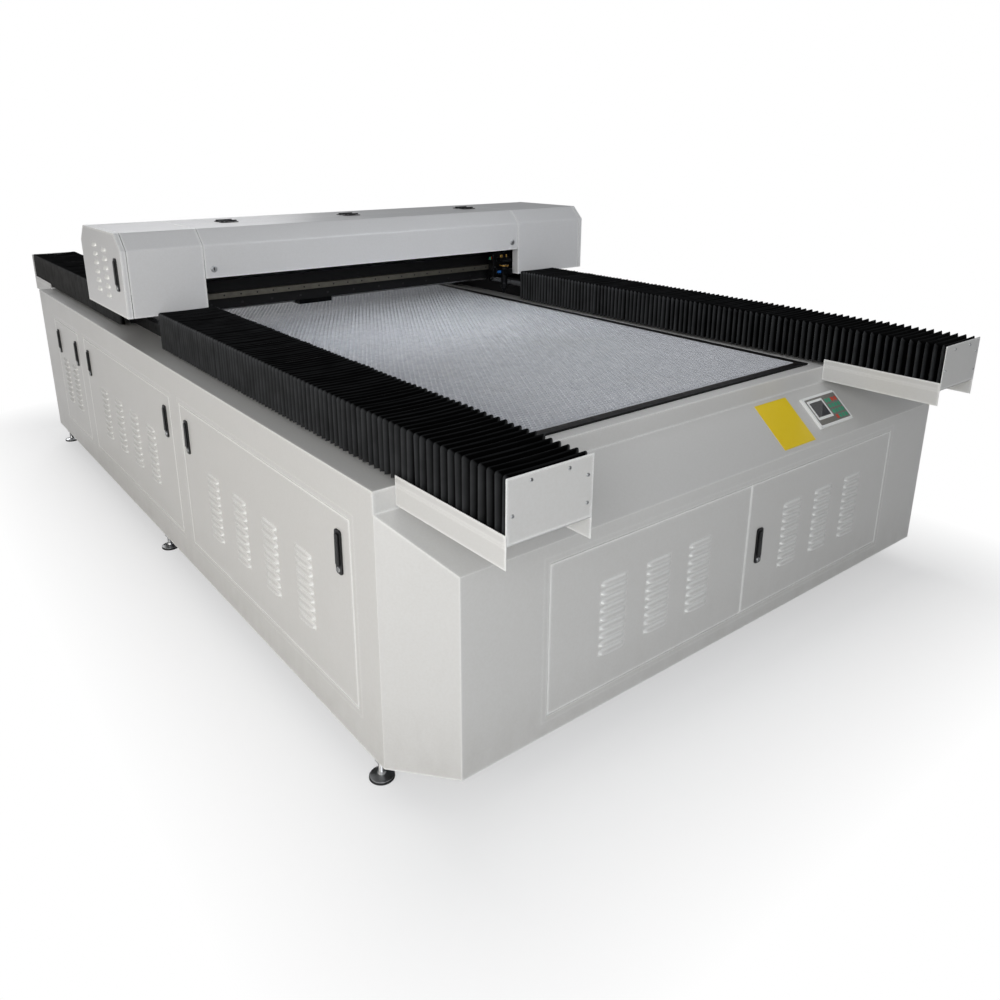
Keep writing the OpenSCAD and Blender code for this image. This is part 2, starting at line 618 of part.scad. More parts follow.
// end door: shallow tray closing a housing; s = -1 is the left one
module end_door(s) place() {
  x0 = s < 0 ? gan_x0 : gan_x1 - end_door_t + slip;
  x1 = s < 0 ? gan_x0 + end_door_t - slip : gan_x1;
  face = s < 0 ? gan_x0 : gan_x1 - sheet;
  difference() {
    prism_x(x0, x1, gantry_outline(0));
    difference() {
      prism_x(x0 - 1, x1 + 1, gantry_outline(sheet));
      box(face, face + sheet, gantry_y0, gan_y1, gantry_z0 - 2, gantry_top);
    }
  }
  box(x0, x1, gantry_y0 + eps, gan_y1 - eps, gantry_z0, gantry_z0 + sheet);
  for (i = [0, 1]) for (k = [0 : 5])
    translate([s < 0 ? gan_x0 : gan_x1, strip_y + 60 - i * 110, gantry_z0 + gantry_h * (0.232 + k * 0.112 - i * 0.03)])
      rotate([0, 0, s * 90]) prism_x(-24, 24, [[0, louvre_h / 2], [-louvre_d * 0.75, -louvre_h * 0.3], [0, -louvre_h / 2]]);
}
module end_door_left() color(paint) end_door(-1);
module end_door_right() color(paint) end_door(1);
module end_latch(s) place()
  translate([s < 0 ? gan_x0 : gan_x1, gantry_y0 + 62, gantry_z0 + (gantry_h - latch_h) / 2 + 1.5])
    rotate([0, 0, s * 90]) latch_handle();
module end_latch_left() color(black) end_latch(-1);
module end_latch_right() color(black) end_latch(1);

module guide_blocks() color(steel) place()
  for (x = rail_x) for (y = [gantry_y0 + 50, gan_y1 - 130]) difference() {
    box(x - 34, x + 34, y, y + 80, beam_top + 8, block_top);
    box(x - rail_s / 2 - slip, x + rail_s / 2 + slip, y - 1, y + 81, beam_top, rail_top + slip);
  }

module laser_tube() color([0.80, 0.72, 0.86]) place() {
  ty = (shelf_y0 + shelf_y1) / 2;
  rod_x(axis_x - tube_l / 2, axis_x + tube_l / 2, ty, tube_z, tube_d);
  for (s = [-1, 1]) translate([axis_x + s * tube_l / 2 + (s < 0 ? -40 : -eps), ty, tube_z]) rotate([0, 90, 0])
    cylinder(h = 40 + eps, d = tube_d * 0.55);
}

module y_motor() color(dark) place() difference() {
  box(axis_x - 260, axis_x - 120, beam_y1, shelf_y0, drive_z - 14, saddle_top + 44);
  rod_x(axis_x - 261, axis_x - 119, drive_y, drive_z, shaft_d + 2 * run);
}

module y_drive_shaft() color(steel) place() {
  rod_x(pulley_mid[0] - 10, pulley_mid[1] + 10, drive_y, drive_z, shaft_d);
  for (x = pulley_mid) rod_x(x - 9, x + 9, drive_y, drive_z, drive_d);
}

module x_motor() color(dark) place() difference() {
  box(pulley_x[0] - motor_s / 2, pulley_x[0] + motor_s / 2, pulley_y + pulley_w + 4, pulley_y + pulley_w + 60, box_top, box_top + motor_s);
  rod_y(pulley_y + pulley_w, pulley_y + pulley_w + 40, pulley_x[0], pulley_z, axle_d + 2 * run);
}

module x_rail() color(steel) place()
  box(seam_l + 4, seam_r - 4, beam_y0 - rail_s, beam_y0, xr_z - rail_s / 2, xr_z + rail_s / 2);

module belt_loop(r, y0, y1) {
  for (x = pulley_x) rod_y(y0, y1, x, pulley_z, 2 * r);
  box(pulley_x[0], pulley_x[1], y0, y1, pulley_z - r, pulley_z + r);
}
module x_belt() color(black) place() difference() {
  belt_loop(xbelt_r + xbelt_t, pulley_y + 1, pulley_y + pulley_w - 1);
  belt_loop(xbelt_r, pulley_y, pulley_y + pulley_w);
}

module x_drive_pulley() color(steel) place() {
  rod_y(pulley_y, pulley_y + pulley_w, pulley_x[0], pulley_z, pulley_d);
  rod_y(pulley_y - 3, pulley_y + pulley_w + 38, pulley_x[0], pulley_z, axle_d);
}
module x_idler_pulley() color(steel) place() difference() {
  rod_y(pulley_y, pulley_y + pulley_w, pulley_x[1], pulley_z, pulley_d);
  rod_y(pulley_y - 1, pulley_y + pulley_w + 1, pulley_x[1], pulley_z, axle_d + 2 * run);
}

module head_carriage() color(steel) place() {
  zb = pulley_z - xbelt_r - xbelt_t;
  difference() {
    union() {
      box(head_x - head_w / 2, head_x + head_w / 2, beam_y0 - 44, beam_y0 - 4, xr_z - 32, xr_z + 32);
      box(head_x - head_w / 2, head_x + head_w / 2, beam_y0 - 52, beam_y0 - 44 + eps, xr_z - 44, zb);
      // arm to the belt and the mirror holder
      box(head_x - 18, head_x + 18, beam_y0 - 52, pulley_y + pulley_w - 1, zb - 7, zb);
      box(head_x - 24, head_x + 24, lens_y - 18, beam_y0 - 44, xr_z + 26, xr_z + 44);
      // holder of the lens tube
      box(head_x - 26, head_x + 26, lens_y - 24, beam_y0 - 44, xr_z - 30, xr_z - 4);
    }
    box(head_x - head_w, head_x + head_w, beam_y0 - rail_s - slip, beam_y0, xr_z - rail_s / 2 - slip, xr_z + rail_s / 2 + slip);
    rod_z(xr_z - 60, xr_z + 25, head_x, lens_y, lens_d + 2 * run);
    translate([head_x, lens_y - 20, xr_z + 45]) rotate([45, 0, 0]) cube([80, 60, 20], center = true);
  }
}

module lens_tube() color([0.30, 0.30, 0.32]) place() {
  rod_z(nozzle_z + 22, xr_z + 14, head_x, lens_y, lens_d);
  rod_z(xr_z + 6, xr_z + 12, head_x, lens_y, lens_d + 10);
  translate([head_x, lens_y, nozzle_z]) cylinder(h = 22 + eps, d1 = 8, d2 = lens_d - 4);
}

// ---- bellows ----

// fold ridges, a little closer together towards the gantry
function fold_s(i, n) = let (s = i / n) s + 0.15 * s * (1 - s);
function zigzag(n, len, d) = [for (i = [0 : 2 * n]) [len * fold_s(i, 2 * n), i % 2 == 0 ? -d : 0]];

// the cloth's outer or inner body: ridges in plan and in side view
module folded(n, len, x0, x1, z0, z1) intersection() {
  zz = zigzag(n, len, fold_d);
  translate([0, 0, z0]) linear_extrude(z1 - z0 + 1) polygon(concat([for (p = zz) [x1 + p[1], p[0]]],
    [for (i = [len(zz) - 1 : -1 : 0]) [x0 - zz[i][1], zz[i][0]]]));
  prism_x(x0 - 1, x1 + 1, concat([for (p = zz) [p[0], z1 + p[1]]], [[zz[len(zz) - 1][0], z0], [0, z0]]));
}
module bellows(x, n, len) difference() {
  folded(n, len, x + 3, x + tunnel_w - 3, bellows_z0, bellows_z1);
  folded(n, len, x + 3 + cloth * 1.6, x + tunnel_w - 3 - cloth * 1.6, bellows_z0 - 1, bellows_z1 - cloth * 1.6);
}
module front_bellows(x) place() translate([0, tray_y0 + sheet, 0])
  bellows(x, front_folds, gantry_y0 - tray_y0 - sheet);
module rear_bellows(x) place() translate([0, tray_y1 - sheet, 0]) mirror([0, 1, 0])
  bellows(x, rear_folds, tray_y1 - sheet - gan_y1);
module bellows_front_left() color(black) front_bellows(tray_x[0]);
module bellows_front_right() color(black) front_bellows(tray_x[1]);
module bellows_rear_left() color(black) rear_bellows(tray_x[0]);
module bellows_rear_right() color(black) rear_bellows(tray_x[1]);

cabinet_shell();
frame_weldment();
levelling_feet();
power_inlet();
bed_frame();
honeycomb_bed();
bed_slats();
linear_rail_left();
linear_rail_right();
y_belt_left();
y_belt_right();
tray_front_left();
tray_front_right();
tray_rear_left();
tray_rear_right();
tray_screws();
control_panel();
notice_plate();
controller_box();
front_door_left();
front_door_right();
front_door_latch();
side_panel_left_front();
side_panel_left_middle();
side_panel_left_rear();
side_panel_right_front();
side_panel_right_rear();
latches_left_front();
latches_left_middle();
latches_left_rear();
latches_right_front();
latches_right_rear();
gantry_beam();
gantry_housing_left();
gantry_housing_right();
gantry_top_strip();
lid_hinges();
front_lid();
rear_lid();
cam_lock_left();
cam_lock_right();
end_door_left();
end_door_right();
end_latch_left();
end_latch_right();
guide_blocks();
laser_tube();
y_motor();
y_drive_shaft();
x_motor();
x_rail();
x_belt();
x_drive_pulley();
x_idler_pulley();
head_carriage();
lens_tube();
bellows_front_left();
bellows_front_right();
bellows_rear_left();
bellows_rear_right();
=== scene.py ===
"""Render scene of a flatbed carbon dioxide laser engraving machine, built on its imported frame.

Every piece takes its place from the boxes of the frame's nodes. Metres, +Z up, the operator stands at -Y.
"""

from __future__ import annotations

import logging
import math
import random
from dataclasses import dataclass
from enum import Enum

import bmesh
import bpy
from mathutils import Matrix, Vector

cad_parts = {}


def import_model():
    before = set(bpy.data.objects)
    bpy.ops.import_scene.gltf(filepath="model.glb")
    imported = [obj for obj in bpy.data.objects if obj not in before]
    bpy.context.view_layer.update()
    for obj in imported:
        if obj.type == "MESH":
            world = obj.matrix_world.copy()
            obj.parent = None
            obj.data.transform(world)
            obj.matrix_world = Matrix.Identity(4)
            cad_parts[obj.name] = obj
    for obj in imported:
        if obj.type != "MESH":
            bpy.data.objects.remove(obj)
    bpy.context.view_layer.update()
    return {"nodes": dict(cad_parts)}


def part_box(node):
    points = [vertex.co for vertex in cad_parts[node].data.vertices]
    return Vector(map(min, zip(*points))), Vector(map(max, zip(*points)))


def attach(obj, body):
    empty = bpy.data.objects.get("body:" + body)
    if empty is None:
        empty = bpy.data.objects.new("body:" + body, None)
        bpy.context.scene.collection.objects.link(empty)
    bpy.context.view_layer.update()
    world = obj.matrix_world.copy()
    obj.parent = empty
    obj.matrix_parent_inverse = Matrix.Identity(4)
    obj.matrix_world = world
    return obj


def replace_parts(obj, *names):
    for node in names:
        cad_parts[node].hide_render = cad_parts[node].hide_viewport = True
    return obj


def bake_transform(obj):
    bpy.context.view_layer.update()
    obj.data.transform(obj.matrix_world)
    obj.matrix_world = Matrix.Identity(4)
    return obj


log = logging.getLogger("laser_machine")

MM = 0.001
Point = tuple[float, float]


def linear(colour: str) -> tuple[float, float, float, float]:
    """Turn an sRGB hex colour such as "#D8D7D3" into linear RGBA."""
    channels = [int(colour[i : i + 2], 16) / 255 for i in (1, 3, 5)]
    red, green, blue = (c / 12.92 if c <= 0.04045 else ((c + 0.055) / 1.055) ** 2.4 for c in channels)
    return (red, green, blue, 1.0)


# ---------------------------------------------------------------- materials


class Coat(Enum):
    """The finishes that the machine's pieces wear."""

    BODY = "powder_coated_sheet_steel"
    GANTRY = "gloss_powder_coated_steel"
    # A paler copy of the body's powder coat, as painted highlight on panel rims and end door louvre hoods.
    PAINTED_HIGHLIGHT = "pale_powder_coated_louvre"
    FRAME = "black_painted_steel"
    DARK = "brown_black_painted_steel"
    GROUND = "ground_rail_steel"
    OILED = "oiled_rail_steel"
    ZINC = "zinc_plated_steel"
    CAST = "satin_aluminium"
    ANODISED = "black_anodised_aluminium"
    FOIL = "honeycomb_aluminium_foil"
    # A whiter copy of the honeycomb foil, as painted glint on the cells' top edges.
    FOIL_PAINTED_GLINT = "honeycomb_foil_edge"
    BRASS = "turned_brass"
    BELLOWS = "pvc_coated_polyester"
    RUBBER = "black_rubber"
    LATCH = "black_nylon"
    FILM = "white_polyester_film"
    BEZEL = "grey_abs"
    DISPLAY = "display_window"
    KEY_GREEN = "green_key_film"
    KEY_RED = "red_key_film"
    BLUE = "blue_acetal"
    NOTICE = "yellow_vinyl"
    GLASS = "borosilicate_glass"
    COPPER = "copper_electrode"


class Graph:
    """A material's node tree, with short ways to add and link nodes."""

    def __init__(self, name: str) -> None:
        """Start a material of that name with one principled shader.

        Args:
            name: The material's name.
        """
        self.material = bpy.data.materials.new(name)
        self.material.use_nodes = True
        self.tree = self.material.node_tree
        self.tree.nodes.clear()
        self.output = self.tree.nodes.new("ShaderNodeOutputMaterial")
        self.shader = self.tree.nodes.new("ShaderNodeBsdfPrincipled")
        self.tree.links.new(self.shader.outputs[0], self.output.inputs[0])
        self.coords = self.tree.nodes.new("ShaderNodeTexCoord").outputs["Object"]

    def add(self, kind: str, inputs: dict | None = None, **settings: object) -> bpy.types.Node:
        """Add a node.

        Args:
            kind: The node's type without its "ShaderNode" prefix.
            inputs: Values or sockets by input name or number.
            settings: The node's own properties.

        Returns:
            The new node.
        """
        node = self.tree.nodes.new("ShaderNode" + kind)
        for key, value in settings.items():
            setattr(node, key, value)
        self.feed(node, inputs or {})
        return node

    def feed(self, node: bpy.types.Node, inputs: dict) -> None:
        """Set or link a node's inputs."""
        for key, value in inputs.items():
            if isinstance(value, bpy.types.NodeSocket):
                self.tree.links.new(value, node.inputs[key])
            else:
                node.inputs[key].default_value = value

    def noise(self, size_mm: float, detail: float = 3.0, stretch: tuple = (1, 1, 1)) -> bpy.types.NodeSocket:
        """Give a noise pattern whose blobs are about that size, stretched along the axes."""
        scale = self.add("Mapping", {"Vector": self.coords, "Scale": tuple(1 / s for s in stretch)})
        node = self.add(
            "TexNoise", {"Vector": scale.outputs[0], "Scale": 1 / (size_mm * MM), "Detail": detail}
        )
        return node.outputs["Fac"]

    def remap(self, value: bpy.types.NodeSocket, source: Point, target: Point) -> bpy.types.NodeSocket:
        """Map a value from one range to another, clamped."""
        inputs = {0: value, 1: source[0], 2: source[1], 3: target[0], 4: target[1]}
        return self.add("MapRange", inputs).outputs[0]

    def mix(self, factor: object, first: object, second: object) -> bpy.types.NodeSocket:
        """Mix two colours by a factor."""
        return self.add("Mix", {0: factor, 6: first, 7: second}, data_type="RGBA").outputs[2]

    def bump(self, height: bpy.types.NodeSocket, strength: float, depth_mm: float, normal: object = None) -> object:
        """Give a normal that is bumped by a height pattern."""
        inputs = {"Height": height, "Strength": strength, "Distance": depth_mm * MM}
        if normal is not None:
            inputs["Normal"] = normal
        return self.add("Bump", inputs).outputs[0]

    def finish(self, **inputs: object) -> bpy.types.Material:
        """Feed the shader and give the material back."""
        names = {key.replace("_", " ").title().replace("Ior", "IOR"): value for key, value in inputs.items()}
        self.feed(self.shader, names)
        return self.material


@dataclass(frozen=True)
class PowderCoat:
    """Baked powder coat with orange peel, rounded bends, faint clouds, floor dust and a painted highlight on sharp
    edges.
    """

    name: str
    colour: str
    roughness: float
    clear: float

    def build(self) -> bpy.types.Material:
        """Build the material."""
        g = Graph(self.name)
        bend = g.add("Bevel", {"Radius": 1.2 * MM}, samples=4).outputs[0]
        normal = g.bump(g.noise(2.2, 2.0), 0.08, 0.05, bend)
        base = linear(self.colour)
        shade = tuple(c * k for c, k in zip(base, (0.92, 0.91, 0.89))) + (1.0,)
        colour = g.mix(g.remap(g.noise(640.0, 1.0), (0.3, 0.7), (0.0, 0.25)), base, shade[:4])
        colour = g.mix(g.remap(g.noise(5.0, 2.0), (0.35, 0.65), (0.0, 0.35)), colour, shade[:4])
        height = g.add("SeparateXYZ", {0: g.coords}).outputs[2]
        low = g.remap(height, (0.07, 0.26), (0.3, 0.0))
        dust = g.add("Math", {0: low, 1: g.noise(35.0, 5.0, (1, 1, 2))}, operation="MULTIPLY").outputs[0]
        colour = g.mix(dust, colour, linear("#8F8A80"))
        # Painted highlight: sharp edges, tight bends and small pressed shapes such as louvre hoods are painted near
        # white, where a shine would fall.
        face = g.add("NewGeometry").outputs["Normal"]
        highlight_bevel = g.add("Bevel", {"Radius": 10.0 * MM}, samples=6).outputs[0]
        edge = g.add("VectorMath", {0: highlight_bevel, 1: face}, operation="DOT_PRODUCT").outputs["Value"]
        colour = g.mix(g.remap(edge, (0.74, 0.94), (0.95, 0.0)), colour, linear("#FBFBF8"))
        rough = g.remap(g.noise(150.0, 2.0), (0.3, 0.7), (self.roughness - 0.03, self.roughness + 0.04))
        return g.finish(
            base_color=colour, roughness=rough, normal=normal, coat_weight=self.clear, coat_roughness=0.12
        )


@dataclass(frozen=True)
class Paint:
    """Brushed or sprayed dark paint with soft edges, paler rubbed edges and small chips."""

    name: str
    colour: str
    worn: str
    roughness: float
    metallic: float = 0.0

    def build(self) -> bpy.types.Material:
        """Build the material."""
        g = Graph(self.name)
        bend = g.add("Bevel", {"Radius": 1.2 * MM}, samples=4).outputs[0]
        normal = g.bump(g.noise(1.4, 3.0), 0.22, 0.08, bend)
        chips = g.remap(g.noise(14.0, 6.0), (0.66, 0.72), (0.0, 0.55))
        face = g.add("NewGeometry").outputs["Normal"]
        edge = g.add("VectorMath", {0: bend, 1: face}, operation="DOT_PRODUCT").outputs["Value"]
        rub = g.remap(edge, (0.75, 0.98), (0.45, 0.0))
        wear = g.add("Math", {0: chips, 1: rub}, operation="MAXIMUM").outputs[0]
        colour = g.mix(wear, linear(self.colour), linear(self.worn))
        rough = g.remap(g.noise(30.0, 4.0), (0.3, 0.7), (self.roughness - 0.08, self.roughness + 0.1))
        return g.finish(
            base_color=colour, roughness=rough, normal=normal, metallic=self.metallic, specular_ior_level=0.25
        )


@dataclass(frozen=True)
class Metal:
    """Bare metal with grinding or turning marks along one axis, and faint stains."""

    name: str
    colour: str
    roughness: float
    grain_mm: float
    stretch: tuple[float, float, float]

    def build(self) -> bpy.types.Material:
        """Build the material."""
        g = Graph(self.name)
        lines = g.noise(self.grain_mm, 3.0, self.stretch)
        normal = g.bump(lines, 0.16, 0.04, g.add("Bevel", {"Radius": 0.8 * MM}, samples=4).outputs[0])
        base = linear(self.colour)
        stain = tuple(c * 0.72 for c in base[:3]) + (1.0,)
        colour = g.mix(g.remap(g.noise(26.0, 5.0), (0.45, 0.75), (0.0, 0.7)), base, stain)
        rough = g.remap(lines, (0.3, 0.7), (self.roughness - 0.07, self.roughness + 0.09))
        return g.finish(base_color=colour, roughness=rough, normal=normal, metallic=1.0)


@dataclass(frozen=True)
class Foil:
    """Honeycomb foil: each cell wall tilts a little, and some cells are scorched."""

    name: str
    colour: str
    scorch: str

    def build(self) -> bpy.types.Material:
        """Build the material."""
        g = Graph(self.name)
        cell = g.add("TexVoronoi", {"Vector": g.coords, "Scale": 1 / (15 * MM)}).outputs["Color"]
        value = g.add("SeparateColor", {0: cell}).outputs[0]
        normal = g.bump(g.noise(6.0, 3.0), 0.5, 0.5)
        streak = g.remap(g.noise(120.0, 6.0, (3.0, 1, 1)), (0.35, 0.7), (0.0, 0.3))
        burnt = g.remap(g.noise(240.0, 6.0), (0.60, 0.84), (0.0, 0.18))
        colour = g.mix(g.remap(value, (0.0, 1.0), (0.25, 0.5)), linear(self.colour), linear("#A8ABB2"))
        colour = g.mix(streak, colour, linear("#CACCD0"))
        colour = g.mix(burnt, colour, linear(self.scorch))
        rough = g.remap(value, (0.0, 1.0), (0.30, 0.55))
        return g.finish(base_color=colour, roughness=rough, normal=normal, metallic=0.1)


@dataclass(frozen=True)
class CoatedCloth:
    """Coated polyester of the bellows: a fine weave under a satin film, and a painted highlight along the fold ridges,
    wide on the sides and thin on the top.
    """

    name: str
    colour: str
    ridge: str

    def build(self) -> bpy.types.Material:
        """Build the material."""
        g = Graph(self.name)
        weave = [
            g.add(
                "TexWave",
                {"Vector": g.coords, "Scale": 1 / (0.9 * MM) / 20, "Distortion": 0.4},
                bands_direction=axis,
            ).outputs["Fac"]
            for axis in ("X", "Z")
        ]
        cloth = g.add("Math", {0: weave[0], 1: weave[1]}, operation="MULTIPLY").outputs[0]
        normal = g.bump(cloth, 0.12, 0.08)
        normal = g.bump(g.noise(18.0, 4.0), 0.45, 0.9, normal)
        # Painted highlight: the ridges of the folds are painted paler, over a wide band on the sides and a thin line on
        # the top; the noise named worn only varies how strong it is.
        fold = g.add("Attribute", attribute_name="fold").outputs["Fac"]
        side = g.add("Attribute", attribute_name="side").outputs["Fac"]
        worn = g.remap(g.noise(60.0, 3.0), (0.3, 0.6), (0.5, 1.0))
        on_top = g.remap(fold, (0.92, 1.0), (0.0, 0.3))
        on_side = g.remap(fold, (0.40, 0.95), (0.0, 1.0))
        reach = g.mix(side, on_top, on_side)
        painted_ridge_highlight = g.add("Math", {0: reach, 1: worn}, operation="MULTIPLY").outputs[0]
        colour = g.mix(painted_ridge_highlight, linear(self.colour), linear(self.ridge))
        rough = g.remap(g.noise(12.0, 4.0), (0.3, 0.7), (0.34, 0.50))
        # The specular level follows the same ridges and is stronger on the sides.
        side_highlight = g.add(
            "Math",
            {0: g.remap(fold, (0.3, 1.0), (0.0, 1.0)), 1: g.remap(side, (0.0, 1.0), (0.02, 0.40))},
            operation="MULTIPLY",
        ).outputs[0]
        return g.finish(base_color=colour, roughness=rough, normal=normal, specular_ior_level=side_highlight)


@dataclass(frozen=True)
class Plastic:
    """Moulded or printed plastic with a fine grain, soft edges and handling marks."""

    name: str
    colour: str
    roughness: float
    grain_mm: float
    coat: float = 0.0
    marks: float = 0.4

    def build(self) -> bpy.types.Material:
        """Build the material."""
        g = Graph(self.name)
        bend = g.add("Bevel", {"Radius": 0.7 * MM}, samples=4).outputs[0]
        normal = g.bump(g.noise(self.grain_mm, 2.0), 0.18, 0.05, bend)
        base = linear(self.colour)
        pale = tuple(min(1.0, c * 1.25 + 0.01) for c in base[:3]) + (1.0,)
        colour = g.mix(g.remap(g.noise(20.0, 5.0), (0.45, 0.7), (0.0, self.marks)), base, pale)
        rough = g.remap(g.noise(9.0, 5.0), (0.3, 0.7), (self.roughness - 0.06, self.roughness + 0.1))
        return g.finish(base_color=colour, roughness=rough, normal=normal, coat_weight=self.coat)


@dataclass(frozen=True)
class TubeGlass:
    """Clear glass of the laser tube, with faint draw lines."""

    name: str
    colour: str

    def build(self) -> bpy.types.Material:
        """Build the material."""
        g = Graph(self.name)
        lines = g.noise(9.0, 2.0, (20, 1, 1))
        colour = g.mix(g.remap(lines, (0.3, 0.7), (0.0, 0.3)), linear(self.colour), linear("#FFFFFF"))
        rough = g.remap(lines, (0.3, 0.7), (0.02, 0.07))
        normal = g.bump(lines, 0.05, 0.1)
        return g.finish(
            base_color=colour, roughness=rough, normal=normal, transmission_weight=0.92, ior=1.47
        )


FINISHES = {
    Coat.BODY: PowderCoat(Coat.BODY.value, "#D2D1CE", 0.34, 0.25),
    Coat.GANTRY: PowderCoat(Coat.GANTRY.value, "#D6D6D6", 0.33, 0.2),
    # Painted highlight: a near-white copy of the powder coat.
    Coat.PAINTED_HIGHLIGHT: PowderCoat(Coat.PAINTED_HIGHLIGHT.value, "#F4F4F1", 0.33, 0.3),
    Coat.FRAME: Paint(Coat.FRAME.value, "#0C0C0D", "#2C2C2D", 0.42),
    Coat.DARK: Paint(Coat.DARK.value, "#26211B", "#5A5248", 0.38, 0.4),
    Coat.GROUND: Metal(Coat.GROUND.value, "#C3C5C8", 0.24, 0.5, (1, 60, 1)),
    Coat.OILED: Metal(Coat.OILED.value, "#77746A", 0.44, 0.5, (1, 60, 1)),
    Coat.ZINC: Metal(Coat.ZINC.value, "#C9CACB", 0.34, 0.8, (6, 1, 6)),
    Coat.CAST: Metal(Coat.CAST.value, "#D0D2D4", 0.36, 0.6, (14, 1, 1)),
    Coat.ANODISED: Paint(Coat.ANODISED.value, "#141517", "#7B7D80", 0.34, 0.6),
    Coat.FOIL: Foil(Coat.FOIL.value, "#E6E7EA", "#8C8174"),
    # Painted glint: the same foil in pure white for the cells' top faces.
    Coat.FOIL_PAINTED_GLINT: Foil(Coat.FOIL_PAINTED_GLINT.value, "#FFFFFF", "#A59A8C"),
    Coat.BRASS: Metal(Coat.BRASS.value, "#C9A25A", 0.28, 0.3, (1, 1, 12)),
    Coat.BELLOWS: CoatedCloth(Coat.BELLOWS.value, "#030303", "#343536"),
    Coat.RUBBER: Plastic(Coat.RUBBER.value, "#121214", 0.62, 0.8),
    Coat.LATCH: Plastic(Coat.LATCH.value, "#050506", 0.40, 0.5, 0.0, 0.15),
    Coat.FILM: Plastic(Coat.FILM.value, "#F5F5F2", 0.36, 0.4, 0.2, 0.1),
    Coat.BEZEL: Plastic(Coat.BEZEL.value, "#7A7872", 0.38, 0.5, 0.2, 0.2),
    Coat.DISPLAY: Plastic(Coat.DISPLAY.value, "#23252E", 0.10, 4.0, 0.8, 0.1),
    Coat.KEY_GREEN: Plastic(Coat.KEY_GREEN.value, "#3E9C79", 0.32, 0.5),
    Coat.KEY_RED: Plastic(Coat.KEY_RED.value, "#C8452E", 0.32, 0.5),
    Coat.BLUE: Plastic(Coat.BLUE.value, "#1F5FA8", 0.30, 0.5, 0.2),
    Coat.NOTICE: Plastic(Coat.NOTICE.value, "#F3D21E", 0.34, 1.2, 0.2, 0.05),
    Coat.GLASS: TubeGlass(Coat.GLASS.value, "#F0F6F8"),
    Coat.COPPER: Metal(Coat.COPPER.value, "#C77E58", 0.30, 0.4, (1, 1, 8)),
}


class Palette:
    """Builds each finish once and hands out its material."""

    def __init__(self) -> None:
        """Start with no material built."""
        self.built: dict[Coat, bpy.types.Material] = {}

    def __getitem__(self, coat: Coat) -> bpy.types.Material:
        """Give a finish's material."""
        if coat not in self.built:
            self.built[coat] = FINISHES[coat].build()
        return self.built[coat]


PALETTE = Palette()

SLOTS = {
    Coat.BODY: "paint",
    Coat.GANTRY: "paint",
    Coat.FRAME: "frame_paint",
    Coat.DARK: "dark_metal",
    Coat.GROUND: "steel",
    Coat.OILED: "steel",
    Coat.ZINC: "steel",
    Coat.CAST: "aluminium",
    Coat.ANODISED: "aluminium",
    Coat.FOIL: "aluminium",
    Coat.FOIL_PAINTED_GLINT: "aluminium",
    Coat.BRASS: "aluminium",
    Coat.BELLOWS: "cloth",
    Coat.RUBBER: "belt_rubber",
    Coat.LATCH: "black_plastic",
    Coat.FILM: "keypad",
    Coat.BEZEL: "keypad",
    Coat.NOTICE: "notice",
    Coat.GLASS: "glass",
    Coat.BLUE: "black_plastic",
}


# ---------------------------------------------------------------- mesh tools


class Axis(Enum):
    """An axis that a turned or drawn shape lies along, as the turn that takes +Z to it."""

    X = Matrix.Rotation(math.pi / 2, 4, "Y")
    Y = Matrix.Rotation(-math.pi / 2, 4, "X")
    Z = Matrix.Identity(4)


class Side(Enum):
    """The wall that a panel hangs on, as the turn from a panel that looks to -Y."""

    FRONT = 0.0
    LEFT = -math.pi / 2
    RIGHT = math.pi / 2

    def at(self, origin: Vector) -> Matrix:
        """Give the matrix that puts a local panel on this wall at that origin."""
        return Matrix.Translation(origin) @ Matrix.Rotation(self.value, 4, "Z")


